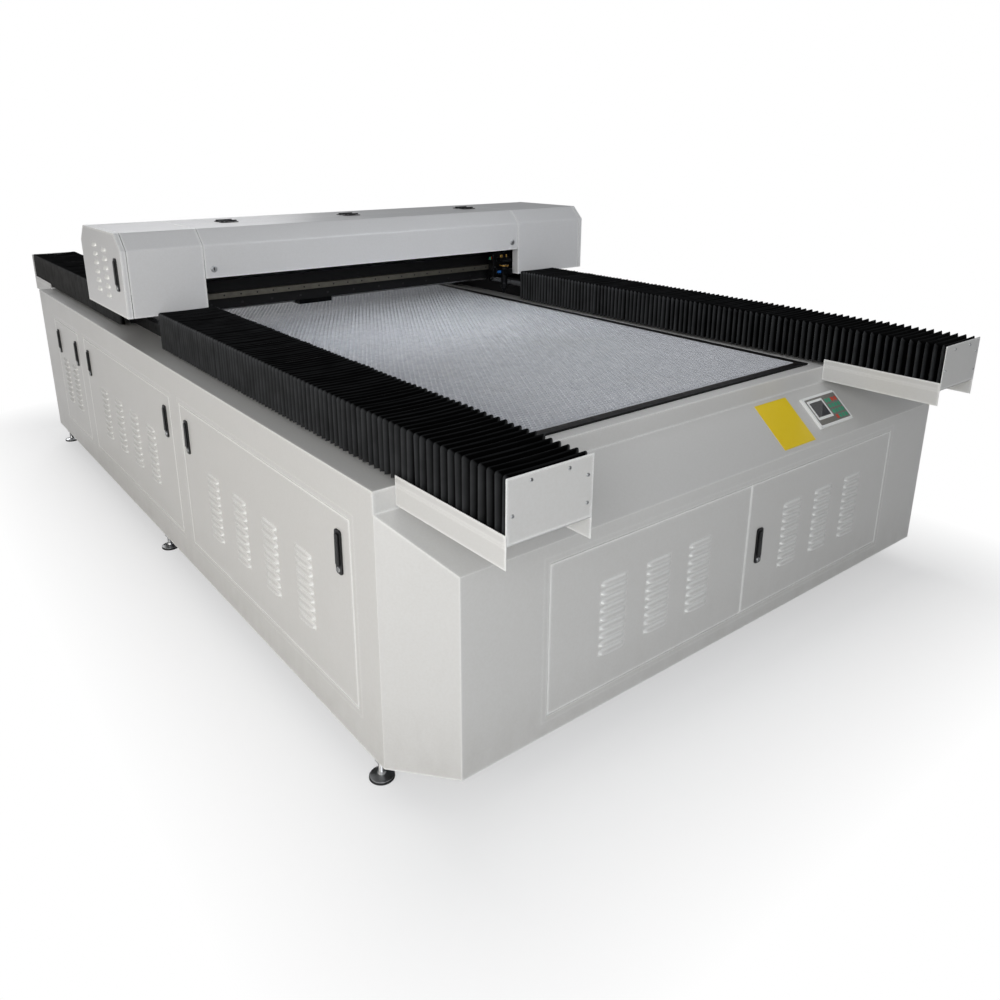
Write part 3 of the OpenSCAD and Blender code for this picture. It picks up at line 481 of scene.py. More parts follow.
class Solid:
    """A mesh under construction; each method adds one shape in one finish."""

    def __init__(self) -> None:
        """Start an empty mesh."""
        self.bm = bmesh.new()
        self.coats: list[Coat] = []

    def _mark(self, faces: list, coat: Coat) -> None:
        """Give new faces their finish."""
        if coat not in self.coats:
            self.coats.append(coat)
        index = self.coats.index(coat)
        for face in faces:
            face.material_index = index

    def _bevel(self, verts: list, width: float, segments: int) -> list:
        """Bevel the sharp edges between some vertices and give all of the shape's faces."""
        bag = set(verts)
        edges = {e for v in verts for e in v.link_edges if e.other_vert(v) in bag}
        sharp = [e for e in edges if len(e.link_faces) == 2 and e.calc_face_angle(0) > math.radians(28)]
        keep = {f for v in verts for f in v.link_faces}
        if width > 0 and sharp:
            made = bmesh.ops.bevel(
                self.bm,
                geom=sharp,
                offset=width,
                segments=segments,
                profile=0.5,
                affect="EDGES",
                material=-1,
                clamp_overlap=True,
            )
            keep |= set(made["faces"])
            keep = {f for f in keep if f.is_valid}
            keep |= {f for v in made["verts"] if v.is_valid for f in v.link_faces}
        return list(keep)

    def box(self, low: tuple, high: tuple, coat: Coat, bevel: float = 0.001, segments: int = 2) -> Solid:
        """Add a block between two corners, with its edges rounded.

        Args:
            low: The lowest corner.
            high: The highest corner.
            coat: The block's finish.
            bevel: The width of the rounding.
            segments: How many faces round an edge.

        Returns:
            This mesh.
        """
        size = Vector(high) - Vector(low)
        matrix = Matrix.Translation((Vector(low) + Vector(high)) / 2) @ Matrix.Diagonal((*size, 1))
        made = bmesh.ops.create_cube(self.bm, size=1.0, matrix=matrix)
        self._mark(self._bevel(made["verts"], bevel, segments), coat)
        return self

    def turned(
        self,
        axis: Axis,
        start: tuple,
        length: float,
        radii: Point,
        coat: Coat,
        bevel: float = 0.0005,
        sides: int = 32,
    ) -> Solid:
        """Add a cylinder or cone.

        Args:
            axis: The axis that it lies along.
            start: The middle of its lower end.
            length: Its length along the axis.
            radii: Its radius at the start and at the end.
            coat: Its finish.
            bevel: The width of the rounding at its ends.
            sides: How many sides it has.

        Returns:
            This mesh.
        """
        place = Matrix.Translation(start) @ axis.value @ Matrix.Translation((0, 0, length / 2))
        made = bmesh.ops.create_cone(
            self.bm,
            cap_ends=True,
            segments=sides,
            radius1=max(radii[0], 1e-5),
            radius2=max(radii[1], 1e-5),
            depth=length,
            matrix=place,
        )
        self._mark(self._bevel(made["verts"], bevel, 2), coat)
        return self

    def spun(self, axis: Axis, start: tuple, profile: list[Point], coat: Coat, sides: int = 40) -> Solid:
        """Add a turned shape from a profile of (radius, distance along the axis) points."""
        place = Matrix.Translation(start) @ axis.value
        verts = [self.bm.verts.new(place @ Vector((r, 0, z))) for r, z in profile]
        edges = [self.bm.edges.new(pair) for pair in zip(verts, verts[1:])]
        before = set(self.bm.faces)
        bmesh.ops.spin(
            self.bm,
            geom=verts + edges,
            cent=place @ Vector((0, 0, 0)),
            axis=place.to_3x3() @ Vector((0, 0, 1)),
            angle=math.tau,
            steps=sides,
            use_merge=True,
            use_duplicate=False,
        )
        self._mark([f for f in self.bm.faces if f not in before], coat)
        return self

    def rectangle(self, low: Point, high: Point) -> list:
        """Add the four edges of a rectangle in the local X-Z plane and give them."""
        size = (high[0] - low[0], high[1] - low[1])
        matrix = (
            Matrix.Translation(((low[0] + high[0]) / 2, 0, (low[1] + high[1]) / 2))
            @ Matrix.Rotation(math.pi / 2, 4, "X")
            @ Matrix.Diagonal((size[0], size[1], 1, 1))
        )
        made = bmesh.ops.create_grid(self.bm, x_segments=1, y_segments=1, size=0.5, matrix=matrix)
        face = made["verts"][0].link_faces[0]
        edges = list(face.edges)
        bmesh.ops.delete(self.bm, geom=[face], context="FACES_ONLY")
        return edges

    def outline(self, points: list[Point], rounding: float = 0.0, segments: int = 4) -> list:
        """Add a closed outline in the local X-Z plane, with its corners rounded, and give its edges."""
        verts = [self.bm.verts.new((x, 0, z)) for x, z in points]
        edges = [self.bm.edges.new(pair) for pair in zip(verts, verts[1:] + verts[:1])]
        if rounding > 0:
            made = bmesh.ops.bevel(
                self.bm,
                geom=verts,
                offset=rounding,
                segments=segments,
                profile=0.5,
                affect="VERTICES",
                material=-1,
            )
            edges = list({e for v in made["verts"] for e in v.link_edges} | {e for e in edges if e.is_valid})
        return edges

    def plate(self, edges: list, depth: float, coat: Coat, bevel: float = 0.0, push: float = 0.0) -> Solid:
        """Fill a set of outlines, holes included, and thicken the sheet along +Y.

        Args:
            edges: The outlines' edges, in the local X-Z plane.
            depth: The sheet's thickness.
            coat: The sheet's finish.
            bevel: The width of the rounding of its edges.
            push: How far the sheet's outer face lies from the plane.

        Returns:
            This mesh.
        """
        filled = bmesh.ops.triangle_fill(self.bm, use_beauty=True, use_dissolve=False, edges=edges)
        faces = [f for f in filled["geom"] if isinstance(f, bmesh.types.BMFace)]
        verts = list({v for f in faces for v in f.verts})
        bmesh.ops.translate(self.bm, verts=verts, vec=(0, push, 0))
        flat = bmesh.ops.dissolve_limit(self.bm, angle_limit=0.01, verts=verts, edges=list({e for f in faces for e in f.edges}))
        faces = list({f for v in verts if v.is_valid for f in v.link_faces if f in flat["region"] or f.is_valid})
        made = bmesh.ops.extrude_face_region(self.bm, geom=faces)["geom"]
        moved = [v for v in made if isinstance(v, bmesh.types.BMVert)]
        bmesh.ops.translate(self.bm, verts=moved, vec=(0, depth, 0))
        every = [v for v in verts if v.is_valid] + moved
        self._mark(self._bevel(every, bevel, 2), coat)
        return self

    def folded(self, path: list[Point], sheet: float, span: Point, coat: Coat, bend: float = 0.003) -> Solid:
        """Add a sheet folded along a Y-Z path and drawn along X; its thickness lies to the path's right.

        Args:
            path: The (y, z) points of the outer face.
            sheet: The sheet's thickness.
            span: The sheet's lowest and highest X.
            coat: Its finish.
            bend: The radius of its folds.

        Returns:
            This mesh.
        """
        verts = [self.bm.verts.new((span[0], y, z)) for y, z in path]
        edges = [self.bm.edges.new(pair) for pair in zip(verts, verts[1:])]
        made = bmesh.ops.bevel(
            self.bm,
            geom=verts[1:-1],
            offset=bend,
            segments=5,
            profile=0.5,
            affect="VERTICES",
            material=-1,
        )
        bag = {e for v in made["verts"] for e in v.link_edges} | {e for e in edges if e.is_valid}
        drawn = bmesh.ops.extrude_edge_only(self.bm, edges=list(bag))["geom"]
        moved = [v for v in drawn if isinstance(v, bmesh.types.BMVert)]
        faces = [f for f in drawn if isinstance(f, bmesh.types.BMFace)]
        bmesh.ops.translate(self.bm, verts=moved, vec=(span[1] - span[0], 0, 0))
        bmesh.ops.recalc_face_normals(self.bm, faces=faces)
        middle = sum((f.calc_center_median() for f in faces), Vector()) / len(faces)
        inward = sum(f.normal.dot(f.calc_center_median() - middle) for f in faces)
        if inward < 0:
            bmesh.ops.reverse_faces(self.bm, faces=faces)
        before = set(self.bm.faces)
        bmesh.ops.solidify(self.bm, geom=faces, thickness=sheet)
        self._mark(faces + [f for f in self.bm.faces if f not in before], coat)
        return self

    def spread(self, offsets: list[tuple[float, float, float]]) -> Solid:
        """Repeat all that is in the mesh so far at each offset, the first of which stays as it is."""
        source = list(self.bm.verts) + list(self.bm.edges) + list(self.bm.faces)
        home = Vector(offsets[0])
        for offset in offsets[1:]:
            made = bmesh.ops.duplicate(self.bm, geom=source)["geom"]
            verts = [v for v in made if isinstance(v, bmesh.types.BMVert)]
            bmesh.ops.translate(self.bm, verts=verts, vec=Vector(offset) - home)
        bmesh.ops.translate(self.bm, verts=[v for v in source if isinstance(v, bmesh.types.BMVert)], vec=home)
        extra = [v for v in self.bm.verts if v not in set(source)]
        bmesh.ops.translate(self.bm, verts=extra, vec=home)
        return self

    def join(self, other: Solid, matrix: Matrix = Matrix.Identity(4)) -> Solid:
        """Add another mesh to this one through a matrix."""
        carrier = bpy.data.meshes.new("carrier")
        bmesh.ops.transform(other.bm, matrix=matrix, verts=other.bm.verts)
        for face in other.bm.faces:
            coat = other.coats[face.material_index]
            if coat not in self.coats:
                self.coats.append(coat)
            face.material_index = self.coats.index(coat)
        other.bm.to_mesh(carrier)
        other.bm.free()
        self.bm.from_mesh(carrier)
        bpy.data.meshes.remove(carrier)
        return self

    def piece(
        self, name: str, body: str | None, replaces: tuple[str, ...] = (), matrix: Matrix | None = None, sharp: float = 30
    ) -> bpy.types.Object:
        """Turn the mesh into a piece of the machine.

        Args:
            name: The piece's name.
            body: The body that it rides on, or None for a piece that is not attached here.
            replaces: The frame's nodes that it stands for.
            matrix: Where the local mesh goes.
            sharp: The angle in degrees above which an edge stays sharp.

        Returns:
            The new object.
        """
        if matrix is not None:
            bmesh.ops.transform(self.bm, matrix=matrix, verts=self.bm.verts)
        bmesh.ops.recalc_face_normals(self.bm, faces=self.bm.faces)
        mesh = bpy.data.meshes.new(name)
        self.bm.to_mesh(mesh)
        self.bm.free()
        mesh.shade_smooth()
        mesh.set_sharp_from_angle(angle=math.radians(sharp))
        for coat in self.coats:
            mesh.materials.append(PALETTE[coat])
        obj = bpy.data.objects.new(name, mesh)
        bpy.context.scene.collection.objects.link(obj)
        if replaces:
            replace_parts(obj, *replaces)
        if self.coats[0] in SLOTS:
            SLOTS[self.coats[0]]
        if body is not None:
            flat = obj.modifiers.new("flat faces", "WEIGHTED_NORMAL")
            flat.keep_sharp = True
            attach(obj, body)
        log.info("%s: %d faces", name, len(mesh.polygons))
        return obj


def dress(nodes: dict, names: list[str], coat: Coat) -> None:
    """Put one finish on the frame's own nodes.

    Args:
        nodes: The frame's nodes by name.
        names: The nodes to dress.
        coat: Their finish.
    """
    for name in names:
        obj = nodes[name]
        if not obj.material_slots:
            obj.data.materials.append(PALETTE[coat])
        for item in obj.material_slots:
            item.material = PALETTE[coat]
        log.info("%s wears %s", name, coat.value)


# ---------------------------------------------------------------- cabinet


@dataclass
class Latch:
    """A black paddle latch: a rounded escutcheon, a finger lever and a key barrel."""

    width: float = 0.027
    height: float = 0.106
    depth: float = 0.009

    def solid(self) -> Solid:
        """Build the latch looking to -Y, its lower edge at z 0."""
        w, h, d = self.width / 2, self.height, self.depth
        s = Solid()
        s.plate(s.outline([(-w, 0), (w, 0), (w, h), (-w, h)], 0.007), d * 0.5, Coat.LATCH, 0.001, -d * 0.5)
        lever = [(-w * 0.66, h * 0.2), (w * 0.66, h * 0.2), (w * 0.52, h * 0.93), (-w * 0.52, h * 0.93)]
        s.plate(s.outline(lever, 0.004), d * 0.42, Coat.LATCH, 0.0012, -d * 0.92)
        s.turned(Axis.Y, (0, -d * 0.72, h * 0.105), d * 0.25, (0.0062, 0.0066), Coat.ZINC, 0.0006, 24)
        s.box((-0.0008, -d * 0.78, h * 0.105 - 0.004), (0.0008, -d * 0.70, h * 0.105 + 0.004), Coat.LATCH, 0)
        for k in range(3):
            z = h * (0.66 + 0.07 * k)
            s.box((-w * 0.4, -d * 0.98, z), (w * 0.4, -d * 0.90, z + 0.0016), Coat.LATCH, 0.0004)
        return s


@dataclass
class LouvredPanel:
    """A sheet steel door or lift-off panel with columns of pressed louvres."""

    node: str
    body: str
    side: Side
    columns: int
    pitch: float
    middle: float = 0.44
    louvre: tuple[float, float, float] = (0.088, 0.013, 0.0077)
    rows: int = 9
    row_pitch: float = 0.023
    sheet: float = 0.003
    rim: float = 0.0032

    def hood(self) -> Solid:
        """Build one louvre's pressed hood: a shallow half dome, open along its lower edge."""
        length, height, depth = self.louvre
        s = Solid()
        made = bmesh.ops.create_grid(s.bm, x_segments=14, y_segments=5, size=1.0)
        for vert in made["verts"]:
            u, t = vert.co.x, (1 - vert.co.y) / 2
            rise = math.sin(t * math.pi / 2) ** 0.75 * math.sqrt(max(0.0, 1 - u**6))
            reach = length / 2 * (1 - 0.04 * t * u * u)
            vert.co = Vector((u * reach, -depth * rise, height * (0.5 - t) * (1 - 0.35 * abs(u) ** 5)))
        faces = list(s.bm.faces)
        bmesh.ops.recalc_face_normals(s.bm, faces=faces)
        if sum(f.normal.y for f in faces) > 0:
            bmesh.ops.reverse_faces(s.bm, faces=faces)
        bmesh.ops.solidify(s.bm, geom=faces, thickness=0.0009)
        s._mark(list(s.bm.faces), Coat.BODY)
        return s

    def spots(self, height: float) -> list[tuple[float, float, float]]:
        """Give the middle of each louvre on the panel."""
        return [
            ((i - (self.columns - 1) / 2) * self.pitch, 0.0, height * self.middle + (k - (self.rows - 1) / 2) * self.row_pitch)
            for i in range(self.columns)
            for k in range(self.rows)
        ]

    def build(self) -> bpy.types.Object:
        """Build the panel in place of its node."""
        low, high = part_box(self.node)
        size = high - low
        width = size.x if self.side is Side.FRONT else size.y
        height = size.z
        length, mouth, _ = self.louvre
        s = Solid()
        rim = self.rim
        inner = ((-width / 2 + rim, rim), (width / 2 - rim, height - rim))
        # The panel's rim is painted in the paler coat, as a painted highlight along its edges.
        border = s.rectangle((-width / 2, 0), (width / 2, height)) + s.rectangle(*inner)
        s.plate(border, self.sheet, Coat.PAINTED_HIGHLIGHT, 0.0007)
        edges = s.rectangle(*inner)
        spots = self.spots(height)
        for x, _, z in spots:
            edges += s.rectangle((x - length * 0.47, z - mouth / 2), (x + length * 0.47, z - mouth * 0.2))
        s.plate(edges, self.sheet, Coat.BODY)
        s.join(self.hood().spread(spots))
        face = {
            Side.FRONT: Vector(((low.x + high.x) / 2, high.y - self.sheet, low.z)),
            Side.LEFT: Vector((high.x - self.sheet, (low.y + high.y) / 2, low.z)),
            Side.RIGHT: Vector((low.x + self.sheet, (low.y + high.y) / 2, low.z)),
        }[self.side]
        return s.piece(self.node + "_sheet", self.body, (self.node,), self.side.at(face))


@dataclass
class LatchRow:
    """The latch handles of one door or panel."""

    node: str
    body: str
    side: Side

    def build(self) -> bpy.types.Object:
        """Build one latch at each end of the node's box, or one if they meet."""
        low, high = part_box(self.node)
        latch = Latch()
        along = 0 if self.side is Side.FRONT else 1
        ends = {round(low[along] + latch.width / 2, 4), round(high[along] - latch.width / 2, 4)}
        whole = Solid()
        wall = {Side.FRONT: high.y, Side.LEFT: high.x, Side.RIGHT: low.x}[self.side]
        for end in sorted(ends):
            spot = Vector((end, wall, low.z)) if along == 0 else Vector((wall, end, low.z))
            whole.join(latch.solid(), self.side.at(spot))
        return whole.piece(self.node + "_handles", self.body, (self.node,))


@dataclass
class EndTray:
    """A folded tray with its upturned end plate, and the plate's pan head screws."""

    node: str
    front: bool
    sheet: float = 0.002

    def build(self) -> list[bpy.types.Object]:
        """Build the tray in place of its node, and its screws."""
        low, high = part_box(self.node)
        t = self.sheet
        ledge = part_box("cabinet_shell")[1].z
        flange = ledge - 0.043 + 0.065
        web = ledge + 0.003
        outer = low.y if self.front else high.y
        s = Solid()
        s.box((low.x, low.y, low.z), (low.x + t, high.y, flange), Coat.BODY, 0.0007)
        s.box((high.x - t, low.y, low.z), (high.x, high.y, flange), Coat.BODY, 0.0007)
        s.box((low.x + t, low.y, web - t), (high.x - t, high.y, web), Coat.BODY, 0.0004)
        plate = (outer, outer + t) if self.front else (outer - t, outer)
        s.box((low.x, plate[0], web - t), (high.x, plate[1], high.z), Coat.BODY, 0.0009, 3)
        tray = s.piece(self.node + "_sheet", "base", (self.node,))
        screws = Solid()
        spots = [(0.014, 0.052), (0.055, 0.108), (0.143, 0.108), (0.189, 0.084), (0.189, 0.030)]
        sign = -1 if self.front else 1
        for x, z in spots:
            base = outer if self.front else outer - 0.0001
            head = Solid()
            head.spun(Axis.Y, (0, 0, 0), [(0.0, 0.0019), (0.0018, 0.0018), (0.0033, 0.0012), (0.0040, 0.0)], Coat.ZINC, 20)
            for slot in ((0.0022, 0.0004), (0.0004, 0.0022)):
                head.box((-slot[0], 0.0017, -slot[1]), (slot[0], 0.00195, slot[1]), Coat.LATCH, 0)
            turn = Matrix.Rotation(math.pi, 4, "Z") if sign < 0 else Matrix.Identity(4)
            screws.join(head, Matrix.Translation((low.x + x, base, web + z)) @ turn)
        heads = screws.piece(self.node + "_screws", "base")
        return [tray, heads]


@dataclass
class ControlPanel:
    """The keypad on the console's slope: a film front with a display and rows of flat keys."""

    node: str = "control_panel"
    width: float = 0.172
    height: float = 0.106

    def build(self, slope: float) -> bpy.types.Object:
        """Build the keypad in place of its node.

        Args:
            slope: The slope's angle above level, in radians.

        Returns:
            The keypad.
        """
        low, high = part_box(self.node)
        w, h = self.width / 2, self.height / 2
        s = Solid()
        top = 0.0078
        s.plate(s.outline([(-w, -h), (w, -h), (w, h), (-w, h)], 0.0025), top, Coat.FILM, 0.0015, -top)
        s.plate(
            s.outline([(-w * 0.90, -h * 0.84), (w * 0.90, -h * 0.84), (w * 0.90, h * 0.84), (-w * 0.90, h * 0.84)], 0.002),
            0.0004,
            Coat.BEZEL,
            0.0001,
            -top - 0.0003,
        )
        s.plate(
            s.outline([(-w * 0.84, -h * 0.52), (w * 0.06, -h * 0.52), (w * 0.06, h * 0.72), (-w * 0.84, h * 0.72)], 0.003),
            0.0005,
            Coat.FILM,
            0.0001,
            -top - 0.0005,
        )
        s.plate(
            s.outline([(-w * 0.76, -h * 0.36), (-w * 0.02, -h * 0.36), (-w * 0.02, h * 0.58), (-w * 0.76, h * 0.58)], 0.001),
            0.0004,
            Coat.DISPLAY,
            0.0001,
            -top - 0.0007,
        )
        for i in range(4):
            for j in range(4):
                x, z = w * (0.22 + 0.185 * i), h * (-0.62 + 0.36 * j)
                coat = Coat.KEY_RED if (i, j) in ((3, 3), (2, 3), (0, 0)) else Coat.KEY_GREEN
                box = [(x - w * 0.07, z - h * 0.12), (x + w * 0.07, z - h * 0.12), (x + w * 0.07, z + h * 0.12), (x - w * 0.07, z + h * 0.12)]
                s.plate(s.outline(box, 0.0015), 0.0006, coat, 0.0002, -top - 0.0008)
        for x in (-w * 0.97, w * 0.97):
            for z in (-h * 0.93, h * 0.93):
                s.turned(Axis.Y, (x * 0.985, -top - 0.0006, z), 0.001, (0.0013, 0.0016), Coat.ZINC, 0.0002, 14)
        middle = (low + high) / 2
        lean = Matrix.Rotation(-(math.pi / 2 - slope), 4, "X")
        drop = Vector((0, -math.sin(slope), math.cos(slope))) * 0.0044
        return s.piece(self.node + "_keypad", "base", (self.node,), Matrix.Translation(middle - drop) @ lean)


@dataclass
class LevellingFeet:
    """Six levelling feet: a rubber shod pressed foot, a threaded stem and a lock nut."""

    node: str = "levelling_feet"

    def build(self) -> bpy.types.Object:
        """Build the feet in place of their node."""
        low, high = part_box(self.node)
        radius = 0.030
        top = high.z
        foot = Solid()
        foot.spun(
            Axis.Z,
            (0, 0, 0),
            [(0.0, 0.0), (0.0285, 0.0), (0.030, 0.0015), (0.030, 0.005), (0.0285, 0.0066), (0.0, 0.0066)],
            Coat.RUBBER,
            40,
        )
        foot.spun(
            Axis.Z,
            (0, 0, 0),
            [(0.0, 0.0066), (0.0282, 0.0066), (0.0282, 0.0082), (0.018, 0.0108), (0.0105, 0.0135), (0.0085, 0.019), (0.0, 0.019)],
            Coat.ZINC,
            40,
        )
        stem = [(0.0, 0.014), (0.0072, 0.014)]
        turns = int((top - 0.016) / 0.002)
        for k in range(turns):
            stem += [(0.0080, 0.0155 + k * 0.002), (0.0071, 0.0165 + k * 0.002)]
        stem += [(0.0071, top), (0.0, top)]
        foot.spun(Axis.Z, (0, 0, 0), stem, Coat.ZINC, 24)
        foot.turned(Axis.Z, (0, 0, top - 0.030), 0.012, (0.015, 0.015), Coat.ZINC, 0.0012, 6)
        rows = [low.y + radius, (low.y + high.y) / 2, high.y - radius]
        spots = [(x, y, 0.0) for x in (low.x + radius, high.x - radius) for y in rows]
        return foot.spread(spots).piece(self.node + "_set", "base", (self.node,), sharp=24)


# ---------------------------------------------------------------- bed


@dataclass
class BedFrame:
    """The ring round the honeycomb: black angle bars and a satin inner strip that holds the panel down."""

    node: str = "bed_frame"
    strip: float = 0.011

    def ring(self, solid: Solid, low: Vector, high: Vector, width: float, coat: Coat) -> None:
        """Add four bars of that width inside a box."""
        w = width
        for a, b in (
            ((low.x, low.y), (low.x + w, high.y)),
            ((high.x - w, low.y), (high.x, high.y)),
            ((low.x + w, low.y), (high.x - w, low.y + w)),
            ((low.x + w, high.y - w), (high.x - w, high.y)),
        ):
            solid.box((*a, low.z), (*b, high.z), coat, 0.0006)

    def build(self) -> bpy.types.Object:
        """Build the ring in place of its node."""
        low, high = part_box(self.node)
        comb_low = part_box("honeycomb_bed")[0]
        bar = comb_low.x - low.x - 0.001
        s = Solid()
        self.ring(s, low, high, bar - self.strip, Coat.FRAME)
        inset = Vector((bar - self.strip, bar - self.strip, 0))
        self.ring(s, low + inset, high - inset - Vector((0, 0, 0.0012)), self.strip, Coat.DARK)
        under = Vector((bar, bar, 0))
        self.ring(s, low + under, Vector((high.x - bar, high.y - bar, low.z + 0.005)), 0.012, Coat.DARK)
        return s.piece("bed_frame_bars", "base", (self.node,))


@dataclass
class HoneycombBed:
    """The aluminium honeycomb panel: foil cells in an edge strip."""

    node: str = "honeycomb_bed"
    pitch: float = 0.016
    wall: float = 0.0022
    rim: float = 0.004

    def unit(self, low: Vector, top: float, depth: float) -> Solid:
        """Build two foil cells, one of each row, from which the panel is repeated."""
        s = Solid()
        reach = self.pitch / math.sqrt(3)
        for row in (0, 1):
            centre = (low.x + self.pitch * row / 2, low.y + self.pitch * math.sqrt(3) / 2 * row, top)
            made = bmesh.ops.create_circle(
                s.bm,
                cap_ends=True,
                segments=6,
                radius=reach,
                matrix=Matrix.Translation(centre),
            )
            face = made["verts"][0].link_faces[0]
            bmesh.ops.inset_region(
                s.bm, faces=[face], thickness=self.wall / 2, use_even_offset=True, use_boundary=True
            )
            drawn = bmesh.ops.extrude_face_region(s.bm, geom=[face])["geom"]
            bottom = [v for v in drawn if isinstance(v, bmesh.types.BMVert)]
            bmesh.ops.translate(s.bm, verts=bottom, vec=(0, 0, -depth))
            floor = [f for f in drawn if isinstance(f, bmesh.types.BMFace)]
            bmesh.ops.delete(s.bm, geom=floor, context="FACES_ONLY")
            if face.is_valid:
                bmesh.ops.delete(s.bm, geom=[face], context="FACES_ONLY")
        s._mark(list(s.bm.faces), Coat.FOIL)
        s.bm.normal_update()
        # The cells' top faces wear the whiter foil: a painted glint where light catches the edges.
        s._mark([f for f in s.bm.faces if abs(f.normal.z) > 0.5], Coat.FOIL_PAINTED_GLINT)
        return s

    def build(self) -> list[bpy.types.Object]:
        """Build the panel in two halves and its edge strip, in place of the node."""
        low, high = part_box(self.node)
        inner_low, inner_high = low + Vector((self.rim, self.rim, 0)), high - Vector((self.rim, self.rim, 0))
        rise = self.pitch * math.sqrt(3)
        across = int((inner_high.x - inner_low.x) / self.pitch)
        along = int((inner_high.y - inner_low.y) / rise)
        margin_x = ((inner_high.x - inner_low.x) - (across - 0.5) * self.pitch) / 2
        start = inner_low + Vector((margin_x, self.pitch * 0.6, 0))
        pieces = []
        first = along // 2
        for part, (offset, count) in enumerate(((0, first), (first, along - first))):
            s = self.unit(start + Vector((0, offset * rise, 0)), high.z - 0.0004, high.z - low.z - 0.001)
            obj = s.piece(f"honeycomb_cells_{part + 1}", None, (self.node,) if part == 0 else (), sharp=20)
            for axis, number, step in ((0, across, self.pitch), (1, count, rise)):
                array = obj.modifiers.new("cells" + "xy"[axis], "ARRAY")
                array.use_relative_offset = False
                array.use_constant_offset = True
                array.constant_offset_displace = tuple(step if k == axis else 0.0 for k in range(3))
                array.count = number
            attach(obj, "base")
            pieces.append(obj)
        rim = Solid()
        w, z0, z1 = self.rim, low.z, high.z
        for a, b in (
            ((low.x, low.y), (low.x + w, high.y)),
            ((high.x - w, low.y), (high.x, high.y)),
            ((low.x + w, low.y), (high.x - w, low.y + w)),
            ((low.x + w, high.y - w), (high.x - w, high.y)),
        ):
            rim.box((*a, z0), (*b, z1), Coat.FOIL, 0.0006)
        pieces.append(rim.piece("honeycomb_rim", "base"))
        return pieces


@dataclass
class Bellows:
    """One pleated bellows, built in groups of folds between the cabinet and the gantry."""

    node: str
    folds: int
    front: bool
    depth: float = 0.020
    seed: int = 7
    side_highlight: float = 1.0

    def fraction(self, share: float) -> float:
        """Give how far along the bellows a fold lies; folds crowd a little towards the gantry."""
        return share + 0.15 * share * (1 - share)

    def rows(self) -> list[tuple[float, float, float, float]]:
        """Give (fraction along, inset, fold value, lean) of each row of points, from the tray to the gantry."""
        rng = random.Random(self.seed)
        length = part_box(self.node)[1].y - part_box(self.node)[0].y
        found = []
        half = 2 * self.folds
        for i in range(half + 1):
            middle = self.fraction(i / half)
            ridge = i % 2 == 1
            inset = rng.uniform(0.0, 0.0016) if ridge else self.depth + rng.uniform(-0.001, 0.0)
            lean = rng.uniform(-1, 1) * 0.0022 if 0 < i < half else 0.0
            steps = ((-0.0011, 0.0016), (0.0, 0.0), (0.0011, 0.0016)) if ridge else ((-0.0009, -0.0014), (0.0, 0.0), (0.0009, -0.0014))
            for shift, cut in steps:
                place = middle + shift / length
                if 0.0 <= place <= 1.0:
                    found.append((place, inset + cut, 1.0 if ridge else 0.0, lean))
        return found

    def section(self, inset: float, low: Vector, high: Vector) -> list[tuple[float, float, float]]:
        """Give the (x, z, droop) points of one row, from the left hem over the top to the right hem."""
        x0, x1, z0, z1 = low.x + inset, high.x - inset, low.z, high.z - inset
        corner = 0.006
        side = [(0.0, z0 + (z1 - corner - z0) * k / 5) for k in range(6)]
        left = [(x0, z, 0.0) for _, z in side] + [(x0 + corner * 0.3, z1 - corner * 0.3, 0.0)]
        top = [
            (x0 + corner + (x1 - x0 - 2 * corner) * k / 10, z1, math.sin(math.pi * k / 10)) for k in range(11)
        ]
        right = [(x1 - (x - x0), z, 0.0) for x, z, _ in reversed(left)]
        return left + top + right

    def spans(self) -> list[tuple[int, int]]:
        """Give the first and last fold of each group: single folds at the ends, wider ones between."""
        sizes, total, size = [], 0, 1.0
        while total + round(size) < self.folds / 2:
            sizes.append(round(size))
            total += round(size)
            size = min(size * 1.6, 10)
        middle = self.folds - 2 * total
        sizes = sizes + [middle // 2, middle - middle // 2] + sizes[::-1]
        starts = [sum(sizes[:k]) for k in range(len(sizes) + 1)]
        return list(zip(starts, starts[1:]))

    def build(self) -> list[bpy.types.Object]:
        """Build the groups in place of the node."""
        low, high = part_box(self.node)
        tray, gantry = (low.y, high.y) if self.front else (high.y, low.y)
        run = gantry - tray
        rows = self.rows()
        rng = random.Random(self.seed + 1)
        droops = [rng.uniform(0.0006, 0.0030) for _ in rows]
        placed = []
        for (place, inset, fold, lean), droop in zip(rows, droops):
            ring = []
            for x, z, sag in self.section(inset, low, high):
                low_share = 1 - (z - low.z) / (high.z - low.z)
                y = tray + run * place + lean * (0.25 + low_share)
                ring.append(Vector((x, min(max(y, low.y), high.y), z - sag * droop)))
            placed.append((place, ring, fold))
        pieces = []
        for number, (first, last) in enumerate(self.spans()):
            a, b = self.fraction(first / self.folds), self.fraction(last / self.folds)
            group = [row for row in placed if a - 1e-6 <= row[0] <= b + 1e-6]
            s = Solid()
            values = []
            sides = []
            rings = []
            for _, ring, fold in group:
                rings.append([s.bm.verts.new(point) for point in ring])
                values += [fold] * len(ring)
                # Side points carry the weight of the painted ridge highlight; the top points carry none.
                sides += [self.side_highlight] * 7 + [0.0] * 11 + [self.side_highlight] * 7
            loops = [[s.bm.edges.new(pair) for pair in zip(ring, ring[1:])] for ring in rings]
            for one, two in zip(loops, loops[1:]):
                bmesh.ops.bridge_loops(s.bm, edges=one + two)
            s._mark(list(s.bm.faces), Coat.BELLOWS)
            obj = s.piece(f"{self.node}_folds_{number + 1:02d}", None, (self.node,), sharp=75)
            fold_value = obj.data.attributes.new("fold", "FLOAT", "POINT")
            fold_value.data.foreach_set("value", values)
            side_value = obj.data.attributes.new("side", "FLOAT", "POINT")
            side_value.data.foreach_set("value", sides)
            ta, tb = ease(a), ease(b)
            step = (b - a) / (tb - ta)
            start, end = a - ta * step, a + (1 - ta) * step
            tray + run * start
            tray + run * end
            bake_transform(obj)
            pieces.append(obj)
        return pieces


